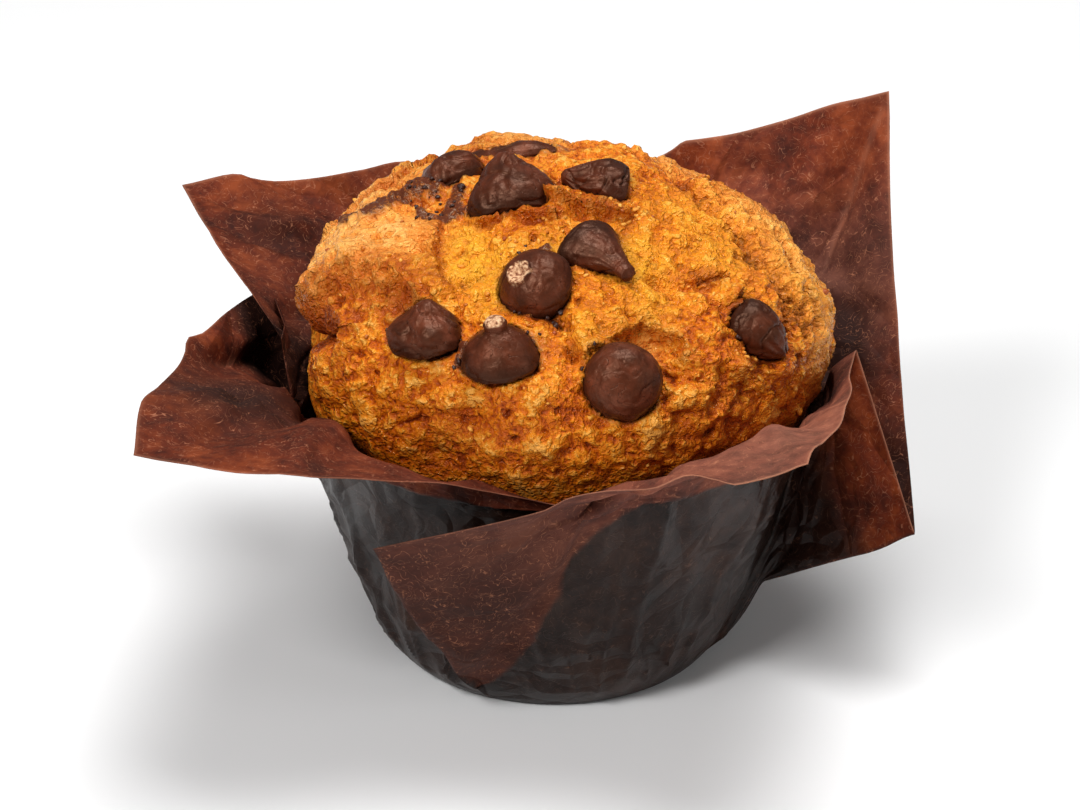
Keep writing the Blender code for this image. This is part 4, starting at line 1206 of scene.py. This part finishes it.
def make_crumbs(dough, p, chocolate, material):
    """Clods of crumb that stick to the crust, 0.4 to 1.4 mm: one rough ball, copied and turned."""
    rng = random.Random(7)
    bm = bmesh.new()
    bmesh.ops.create_icosphere(bm, subdivisions=2, radius=1.0)
    ball = np.array([v.co for v in bm.verts])
    faces = np.array([[v.index for v in f.verts] for f in bm.faces])
    bm.free()
    shown = np.nonzero(dough.rise > -10.0)[0]
    picks = [shown[rng.randrange(len(shown))] for _ in range(SCATTERED)]
    for angle, rise, spread, count in CRUMB_PATCHES:
        away = np.linalg.norm(dough.plain[shown] - np.array(dome_point(angle, rise)), axis=1)
        near = shown[away < spread]
        picks += [near[rng.randrange(len(near))] for _ in range(count // 3)]
    verts, tones = [], []
    for i in picks:
        size = rng.uniform(0.2, 0.45) * (1.5 if rng.random() < 0.1 else 1.0)
        turn = Matrix.Rotation(rng.uniform(0.0, math.tau), 3, Vector(
            (rng.gauss(0.0, 1.0), rng.gauss(0.0, 1.0), rng.gauss(0.0, 1.0))).normalized())
        shift = rng.uniform(0.0, 50.0)
        lumpy = np.array([1.0 + 0.55 * noise.noise(Vector(b) * 1.3 + Vector((shift, 0, 0)))
                          for b in ball])
        shape = (rng.uniform(0.7, 1.4), rng.uniform(0.7, 1.2), rng.uniform(0.5, 0.9))
        grain = (ball * lumpy[:, None] * shape * size) @ np.array(turn)
        verts.append(grain + p[i] + dough.normal[i] * size * 0.1)
        melted = rng.random() < 1.5 * chocolate[i]
        tones += [0.0 if melted else rng.uniform(0.15, 1.0)] * len(ball)
    mesh = bpy.data.meshes.new("clods")
    starts = np.arange(len(picks))[:, None, None] * len(ball)
    mesh.from_pydata(np.concatenate(verts).tolist(), [], (faces + starts).reshape(-1, 3).tolist())
    bm = bmesh.new()
    bm.from_mesh(mesh)
    bpy.data.meshes.remove(mesh)
    tone = bm.verts.layers.float.new("tone")
    for v, value in zip(bm.verts, tones):
        v[tone] = value
    return finish_piece("loose_crumbs", bm, material)


# ---------------------------------------------------------------------------
# Materials
# ---------------------------------------------------------------------------


def colour(code):
    """Linear colour of an sRGB hex value."""
    parts = [int(code[i : i + 2], 16) / 255.0 for i in (1, 3, 5)]
    linear = [c / 12.92 if c <= 0.04045 else ((c + 0.055) / 1.055) ** 2.4 for c in parts]
    return (*linear, 1.0)


def add_node(tree, kind, inputs=None, stops=None, **settings):
    """Adds a node. inputs gives sockets, by name or number, a value or another node's output."""
    made = tree.nodes.new("ShaderNode" + kind)
    for name, value in settings.items():
        setattr(made, name, value)
    if stops:
        low, *middle, high = sorted(stops)
        marks = made.color_ramp.elements
        marks[0].position, marks[1].position = low, high
        marks[0].color, marks[1].color = stops[low], stops[high]
        for place in middle:
            marks.new(place).color = stops[place]
    for socket, value in (inputs or {}).items():
        if isinstance(value, bpy.types.NodeSocket):
            tree.links.new(value, made.inputs[socket])
        else:
            made.inputs[socket].default_value = value
    return made


def result(made):
    """The output that a node gives in the mode it is set to."""
    return next(o for o in made.outputs if o.enabled)


def new_material(name):
    mat = bpy.data.materials.new(name)
    mat.use_nodes = True
    return mat, mat.node_tree, mat.node_tree.nodes["Principled BSDF"]


def baked_crumb():
    """Egg and butter batter browned in the oven: coarse and golden, with small glints of fat.
    Torn outer crust is browner, fresh tears are pale yellow. The colour goes by height, so every
    hollow is deep orange as painted shade and the crests carry a painted highlight; the broken
    faces of the steps, the crack under the left lobe and the foot of the dome are painted darker as
    shade."""
    mat, tree, shader = new_material("baked crumb")

    def add(kind, inputs=None, **settings):
        return result(add_node(tree, kind, inputs, **settings))

    def attribute(name):
        return add_node(tree, "Attribute", attribute_name=name).outputs["Fac"]

    place = add("Mapping", {0: add_node(tree, "TexCoord").outputs["Object"],
                            "Scale": (1000.0, 1000.0, 1000.0)})
    broad = add("TexNoise", {0: place, "Scale": 1 / 7.0, "Detail": 3.0})
    warp = add_node(tree, "TexNoise", {0: place, "Scale": 1 / 1.2, "Detail": 2.0})
    bent = add("VectorMath", {0: warp.outputs["Color"], 1: (1.3, 1.3, 1.3)}, operation="MULTIPLY")
    bent = add("VectorMath", {0: place, 1: bent}, operation="ADD")
    cells = add("TexVoronoi", {0: bent, "Scale": 1 / 1.3})
    grit = add("TexNoise", {0: bent, "Scale": 1 / 0.6, "Detail": 1.5, "Roughness": 0.5})
    folds = add("TexNoise", {0: bent, "Scale": 1 / 1.4, "Detail": 0.0, "Distortion": 0.6})
    folds = add("Math", {0: add("Math", {0: folds, 1: 0.5}, operation="SUBTRACT")},
                operation="ABSOLUTE")
    folds = add("MapRange", {0: folds, 1: 0.0, 2: 0.28, 3: 0.0, 4: 0.24},
                interpolation_type="SMOOTHSTEP")
    crumb = add("Math", {0: 0.66, 1: cells}, operation="SUBTRACT")
    crumb = add("Math", {0: crumb, 1: 0.45, 2: folds}, operation="MULTIPLY_ADD")
    crumb = add("Math", {0: grit, 1: 0.95, 2: crumb}, operation="MULTIPLY_ADD")
    high = add("Math", {0: attribute("high"), 1: 0.45}, operation="MULTIPLY")
    high = add("Math", {0: crumb, 1: 0.6, 2: high}, operation="MULTIPLY_ADD")
    high = add("Math", {0: broad, 1: 0.3, 2: high}, operation="MULTIPLY_ADD")
    # Colour by height: the crumb's own tone, with painted shade in the hollows and a painted
    # highlight on the crests.
    torn = add("ValToRGB", {0: high}, stops={
        0.43: colour("#782400"), 0.58: colour("#B44A02"), 0.74: colour("#DE7208"),
        0.89: colour("#F09420"), 1.0: colour("#FBB04C")})
    skin = add("ValToRGB", {0: high}, stops={
        0.43: colour("#A84C0A"), 0.6: colour("#F09638"), 0.96: colour("#FFBE6C")})
    base = add("Mix", {0: attribute("skin"), 6: torn, 7: skin}, data_type="RGBA")
    pale = add("Mix", {0: attribute("pale"), 6: base, 7: colour("#F4AE2C")}, data_type="RGBA")
    # Browning, with painted shade in the cracks and under the left lobe.
    browned = add("Math", {0: attribute("toast_and_shade"), 1: broad}, operation="MULTIPLY")
    browned = add("Math", {0: browned, 1: 1.5}, operation="MULTIPLY", use_clamp=True)
    toast_and_shade = add("Mix", {0: browned, 6: pale, 7: colour("#8A3A10")}, data_type="RGBA")
    # Painted shade: the broken faces under the steps' lips are darker orange.
    broken = add("Math", {0: attribute("face"), 1: 0.6}, operation="MULTIPLY")
    face = add("Mix", {0: broken, 6: toast_and_shade, 7: colour("#A84400")}, data_type="RGBA")
    # Painted shade: the foot of the dome is darker.
    lower = add("Math", {0: attribute("low"), 1: 0.36}, operation="MULTIPLY")
    low = add("Mix", {0: lower, 6: face, 7: colour("#8E3E06")}, data_type="RGBA")
    melted = add("Math", {0: attribute("choc"), 1: grit}, operation="MULTIPLY")
    melted = add("Math", {0: melted, 1: 1.8}, operation="MULTIPLY", use_clamp=True)
    final = add("Mix", {0: melted, 6: low, 7: colour("#5C2C1A")}, data_type="RGBA")
    glint = add("MapRange", {0: grit, 1: 0.5, 2: 0.62, 3: 0.5, 4: 0.17})
    glint = add("Mix", {0: melted, 2: glint, 3: 0.3}, data_type="FLOAT")
    sunk = add("Math", {0: melted, 1: -0.85, 2: 1.0}, operation="MULTIPLY_ADD")
    sunk = add("Math", {0: sunk, 1: crumb}, operation="MULTIPLY")
    bump = add("Bump", {"Strength": 1.0, "Distance": 0.0008, "Height": sunk})
    tree.links.new(final, shader.inputs["Base Color"])
    tree.links.new(glint, shader.inputs["Roughness"])
    tree.links.new(bump, shader.inputs["Normal"])
    shader.inputs["IOR"].default_value = 1.45
    shader.inputs["Specular IOR Level"].default_value = 0.45
    shader.inputs["Specular Tint"].default_value = colour("#FFE2BC")
    return mat


def crumb_grains():
    """The same crumb in loose grains, from pale yellow to toasted brown."""
    mat, tree, shader = new_material("crumb grains")

    def add(kind, inputs=None, **settings):
        return result(add_node(tree, kind, inputs, **settings))

    tone = add_node(tree, "Attribute", attribute_name="tone").outputs["Fac"]
    place = add("Mapping", {0: add_node(tree, "TexCoord").outputs["Object"],
                            "Scale": (1000.0, 1000.0, 1000.0)})
    grit = add("TexNoise", {0: place, "Scale": 1 / 0.4, "Detail": 2.0})
    base = add("ValToRGB", {0: tone}, stops={
        0.05: colour("#38190E"), 0.15: colour("#9A4410"), 0.5: colour("#D07A10"),
        0.98: colour("#EFAA44")})
    bump = add("Bump", {"Strength": 0.6, "Distance": 0.0002, "Height": grit})
    tree.links.new(base, shader.inputs["Base Color"])
    tree.links.new(bump, shader.inputs["Normal"])
    shader.inputs["Roughness"].default_value = 0.45
    shader.inputs["IOR"].default_value = 1.45
    return mat


def milk_chocolate():
    """Moulded milk chocolate that has softened and set again: satin, with hairline cracks,
    painted darker towards its foot as shade where it meets the crumb, and with the broken ends of
    the tips gone pale."""
    mat, tree, shader = new_material("milk chocolate")

    def add(kind, inputs=None, **settings):
        return result(add_node(tree, kind, inputs, **settings))

    def attribute(name):
        return add_node(tree, "Attribute", attribute_name=name).outputs["Fac"]

    place = add("Mapping", {0: add_node(tree, "TexCoord").outputs["Object"],
                            "Scale": (1000.0, 1000.0, 1000.0)})
    broad = add("TexNoise", {0: place, "Scale": 1 / 3.0, "Detail": 3.0})
    fine = add("TexNoise", {0: place, "Scale": 1 / 0.5, "Detail": 3.0})
    lines = add("TexNoise", {0: place, "Scale": 1 / 2.4, "Detail": 2.0, "Distortion": 0.6})
    lines = add("Math", {0: add("Math", {0: lines, 1: 0.5}, operation="SUBTRACT")},
                operation="ABSOLUTE")
    crack = add("MapRange", {0: lines, 1: 0.0, 2: 0.012, 3: 1.0, 4: 0.0})
    some = add("MapRange", {0: broad, 1: 0.5, 2: 0.6, 3: 0.0, 4: 1.0})
    crack = add("Math", {0: crack, 1: some}, operation="MULTIPLY")
    base = add("ValToRGB", {0: broad}, stops={
        0.35: colour("#38170A"), 0.55: colour("#4E2212"), 0.72: colour("#683422")})
    # Painted shade towards the foot of the chip.
    shade = add("Math", {0: attribute("low"), 1: 0.8}, operation="MULTIPLY")
    darker = add("Mix", {0: shade, 6: base, 7: colour("#240F08")}, data_type="RGBA")
    split = add("Math", {0: crack, 1: 0.8}, operation="MULTIPLY")
    cracked = add("Mix", {0: split, 6: darker, 7: colour("#2A120B")}, data_type="RGBA")
    chalk = add("ValToRGB", {0: fine}, stops={
        0.38: colour("#6A3A26"), 0.48: colour("#BC8A66"), 0.64: colour("#E2BC94")})
    ends = add("Mix", {0: attribute("pale"), 6: cracked, 7: chalk}, data_type="RGBA")
    rough = add("MapRange", {0: fine, 1: 0.35, 2: 0.65, 3: 0.34, 4: 0.5})
    relief = add("Math", {0: crack, 1: -2.0, 2: fine}, operation="MULTIPLY_ADD")
    bump = add("Bump", {"Strength": 0.4, "Distance": 0.0002, "Height": relief})
    tree.links.new(ends, shader.inputs["Base Color"])
    tree.links.new(rough, shader.inputs["Roughness"])
    tree.links.new(bump, shader.inputs["Normal"])
    shader.inputs["IOR"].default_value = 1.46
    shader.inputs["Specular IOR Level"].default_value = 0.6
    shader.inputs["Specular Tint"].default_value = colour("#F0B494")
    return mat


def baking_paper():
    """Brown greaseproof paper: matt, blotched orange-brown, with fine pale fibres. Where the
    muffin has soaked it with fat it is nearly black and has a soft sheen. Its colour also carries
    painted
    light: a painted glow where light would shine through, painted shade and painted light by place,
    and a painted highlight along the cut edges and the taller creases."""
    mat, tree, shader = new_material("baking paper")

    def add(kind, inputs=None, **settings):
        return result(add_node(tree, kind, inputs, **settings))

    def attribute(name):
        return add_node(tree, "Attribute", attribute_name=name).outputs["Fac"]

    def hairs(size, thin, distortion, mask):
        """Thin lines where a noise of that size passes through its middle, broken by a mask."""
        field = add("TexNoise", {0: place, "Scale": 1 / size, "Detail": 1.0,
                                 "Distortion": distortion})
        off = add("Math", {0: add("Math", {0: field, 1: 0.5}, operation="SUBTRACT")},
                  operation="ABSOLUTE")
        line = add("MapRange", {0: off, 1: 0.0, 2: thin, 3: 1.0, 4: 0.0})
        return add("Math", {0: line, 1: mask}, operation="MULTIPLY")

    place = add("Mapping", {0: add_node(tree, "TexCoord").outputs["Object"],
                            "Scale": (1000.0, 1000.0, 1000.0)})
    flat = add_node(tree, "UVMap", uv_map="sheet").outputs[0]
    flat = add("Mapping", {0: flat, "Scale": (SHEET_SIDE, SHEET_SIDE, SHEET_SIDE)})
    cloud = add("TexNoise", {0: place, "Scale": 1 / 11.0, "Detail": 5.0, "Roughness": 0.65})
    mottle = add("TexNoise", {0: place, "Scale": 1 / 2.2, "Detail": 5.0, "Roughness": 0.6})
    patchy = add("MapRange", {0: mottle, 1: 0.46, 2: 0.6, 3: 0.0, 4: 0.7})
    patchy_too = add("MapRange", {0: mottle, 1: 0.54, 2: 0.4, 3: 0.0, 4: 0.6})
    fibre = add("Math", {0: hairs(2.3, 0.018, 1.5, patchy), 1: hairs(3.1, 0.013, 2.2, patchy_too)},
                operation="MAXIMUM")
    tone = add("Mix", {0: 0.3, 2: cloud, 3: mottle}, data_type="FLOAT")
    dry = add("ValToRGB", {0: tone}, stops={
        0.38: colour("#4A2A22"), 0.5: colour("#6A3B2F"), 0.62: colour("#87513F")})
    orange = add("ValToRGB", {0: tone}, stops={
        0.38: colour("#421204"), 0.5: colour("#742A0C"), 0.62: colour("#A0481E")})
    # Orange, partly the paper's own and partly a painted glow of light shining through it.
    orange_and_glow = add("Mix", {0: attribute("orange_and_glow"), 6: dry, 7: orange}, data_type="RGBA")
    # Painted shade darkens the paper where shadow falls on it.
    shade = add("Mix", {0: attribute("painted_shade"), 6: orange_and_glow, 7: colour("#2C120A")}, data_type="RGBA")
    # Painted light brightens the mottles where the panel faces the light.
    painted_light = add("Math", {0: attribute("painted_light"), 1: mottle}, operation="MULTIPLY")
    painted_light = add("Math", {0: painted_light, 1: 1.9}, operation="MULTIPLY", use_clamp=True)
    shade = add("Mix", {0: painted_light, 6: shade, 7: colour("#B0745C")}, data_type="RGBA")
    tinted = add("Mix", {0: fibre, 6: shade, 7: colour("#B87858")}, data_type="RGBA")
    # Painted highlight along the cut edges and the taller creases.
    painted_highlight = add("Math", {0: attribute("rim"), 1: 0.55}, operation="MULTIPLY")
    edged = add("Mix", {0: painted_highlight, 6: tinted, 7: colour("#B57A5E")}, data_type="RGBA")
    soaked = add("ValToRGB", {0: tone}, stops={
        0.38: colour("#180B07"), 0.5: colour("#27140D"), 0.62: colour("#3A2318")})
    # The same painted shade darkens the soaked paper too.
    deep = add("Math", {0: attribute("painted_shade"), 1: 0.9}, operation="MULTIPLY")
    soaked = add("Mix", {0: deep, 6: soaked, 7: colour("#0C0503")}, data_type="RGBA")
    faint = add("Math", {0: fibre, 1: 0.3}, operation="MULTIPLY")
    soaked = add("Mix", {0: faint, 6: soaked, 7: colour("#8A6450")}, data_type="RGBA")
    final = add("Mix", {0: attribute("grease"), 6: edged, 7: soaked}, data_type="RGBA")
    rough = add("MapRange", {0: attribute("grease"), 1: 0.0, 2: 1.0, 3: 0.78, 4: 0.38})
    height = add("Math", {0: mottle, 1: fibre}, operation="ADD")
    swirl = add_node(tree, "TexNoise", {0: flat, "Scale": 1 / 12.0, "Detail": 1.0})
    pulled = add("VectorMath", {0: swirl.outputs["Color"], 1: (9.0, 9.0, 9.0)},
                 operation="MULTIPLY")
    pulled = add("VectorMath", {0: flat, 1: pulled}, operation="ADD")
    facets = add("TexVoronoi", {0: pulled, "Scale": 1 / 19.0}, feature="DISTANCE_TO_EDGE")
    small = add("TexVoronoi", {0: pulled, "Scale": 1 / 8.0}, feature="DISTANCE_TO_EDGE")
    facets = add("Math", {0: small, 1: 0.3, 2: facets}, operation="MULTIPLY_ADD")
    crumple = add("Bump", {"Strength": 0.8, "Distance": 0.004, "Height": facets})
    bump = add("Bump", {"Strength": 0.35, "Distance": 0.0002, "Height": height,
                        "Normal": crumple})
    tree.links.new(final, shader.inputs["Base Color"])
    tree.links.new(rough, shader.inputs["Roughness"])
    tree.links.new(bump, shader.inputs["Normal"])
    shader.inputs["IOR"].default_value = 1.47
    shader.inputs["Specular IOR Level"].default_value = 0.22
    return mat


# ---------------------------------------------------------------------------
# Pieces and stage
# ---------------------------------------------------------------------------


def finish_piece(name, bm, material):
    """Moves a mesh laid out in millimetres from the dome's axis to its place in the frame."""
    bmesh.ops.translate(bm, vec=-BASE_CENTRE, verts=bm.verts)
    bmesh.ops.scale(bm, vec=(MM, MM, MM), verts=bm.verts)
    mesh = bpy.data.meshes.new(name)
    bm.to_mesh(mesh)
    bm.free()
    mesh.shade_smooth()
    mesh.materials.append(material)
    ob = bpy.data.objects.new(name, mesh)
    bpy.context.scene.collection.objects.link(ob)
    return ob


def add_light(name, at, size, power, tint, aim=(0.0, 0.0, 0.045)):
    """A square soft box at a point, turned to the muffin."""
    data = bpy.data.lights.new(name, "AREA")
    data.shape = "SQUARE"
    data.size = size
    data.energy = power
    data.color = colour(tint)[:3]
    ob = bpy.data.objects.new(name, data)
    ob.location = at
    ob.rotation_euler = (Vector(aim) - Vector(at)).to_track_quat("-Z", "Y").to_euler()
    bpy.context.scene.collection.objects.link(ob)


def make_floor():
    """A flat pale floor under the muffin."""
    bm = bmesh.new()
    bmesh.ops.create_grid(bm, x_segments=1, y_segments=1, size=3.0)
    mesh = bpy.data.meshes.new("floor")
    bm.to_mesh(mesh)
    bm.free()
    mat, _, shader = new_material("pale floor")
    shader.inputs["Base Color"].default_value = colour("#F4F4F4")
    shader.inputs["Roughness"].default_value = 0.9
    mesh.materials.append(mat)
    ob = bpy.data.objects.new("floor", mesh)
    bpy.context.scene.collection.objects.link(ob)
    return ob


CAMERA_DISTANCE = 0.6
CAMERA_ELEVATION = 26.0
CAMERA_LENS = 125.0
CAMERA_AIM = Vector((-0.0022, 0.0004, 0.0404))


def make_camera():
    data = bpy.data.cameras.new("camera")
    data.lens = CAMERA_LENS
    data.sensor_width = 36.0
    ob = bpy.data.objects.new("camera", data)
    up = math.radians(CAMERA_ELEVATION)
    back = Vector((0.0, -math.cos(up), math.sin(up)))
    ob.location = CAMERA_AIM + back * CAMERA_DISTANCE
    ob.rotation_euler = (-back).to_track_quat("-Z", "Y").to_euler()
    bpy.context.scene.collection.objects.link(ob)
    bpy.context.scene.camera = ob


def make_stage():
    """White surroundings and three soft boxes: one overhead, two lower in front."""
    scene = bpy.context.scene
    scene.view_settings.view_transform = "Standard"
    world = bpy.data.worlds.new("surroundings")
    world.use_nodes = True
    world.node_tree.nodes["Background"].inputs["Color"].default_value = (1.0, 1.0, 1.0, 1.0)
    world.node_tree.nodes["Background"].inputs["Strength"].default_value = 0.15
    scene.world = world
    make_floor()
    add_light("overhead box", (0.1, 0.1, 1.0), 0.5, 8.1, "#FFFFFF")
    add_light("key box", (-0.5, -0.7, 0.8), 0.35, 8.8, "#FFFFFF")
    add_light("right box", (0.9, -0.5, 0.5), 0.5, 1.5, "#FFFFFF")
    make_camera()


def main():
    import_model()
    crumb = baked_crumb()
    chocolate = milk_chocolate()

    crust, dough, places, melted = make_dough(crumb)
    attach(crust, "root")
    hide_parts("muffin")

    grains = make_crumbs(dough, places, melted, crumb_grains())
    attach(grains, "root")

    paper = make_paper(baking_paper())
    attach(paper, "root")
    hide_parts("paper_case")

    for number in range(len(CHIPS)):
        chip = make_chip(number, chocolate)
        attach(chip, "root")
        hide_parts(f"chip_{number + 1:02d}")

    make_stage()
    bpy.context.view_layer.update()


main()
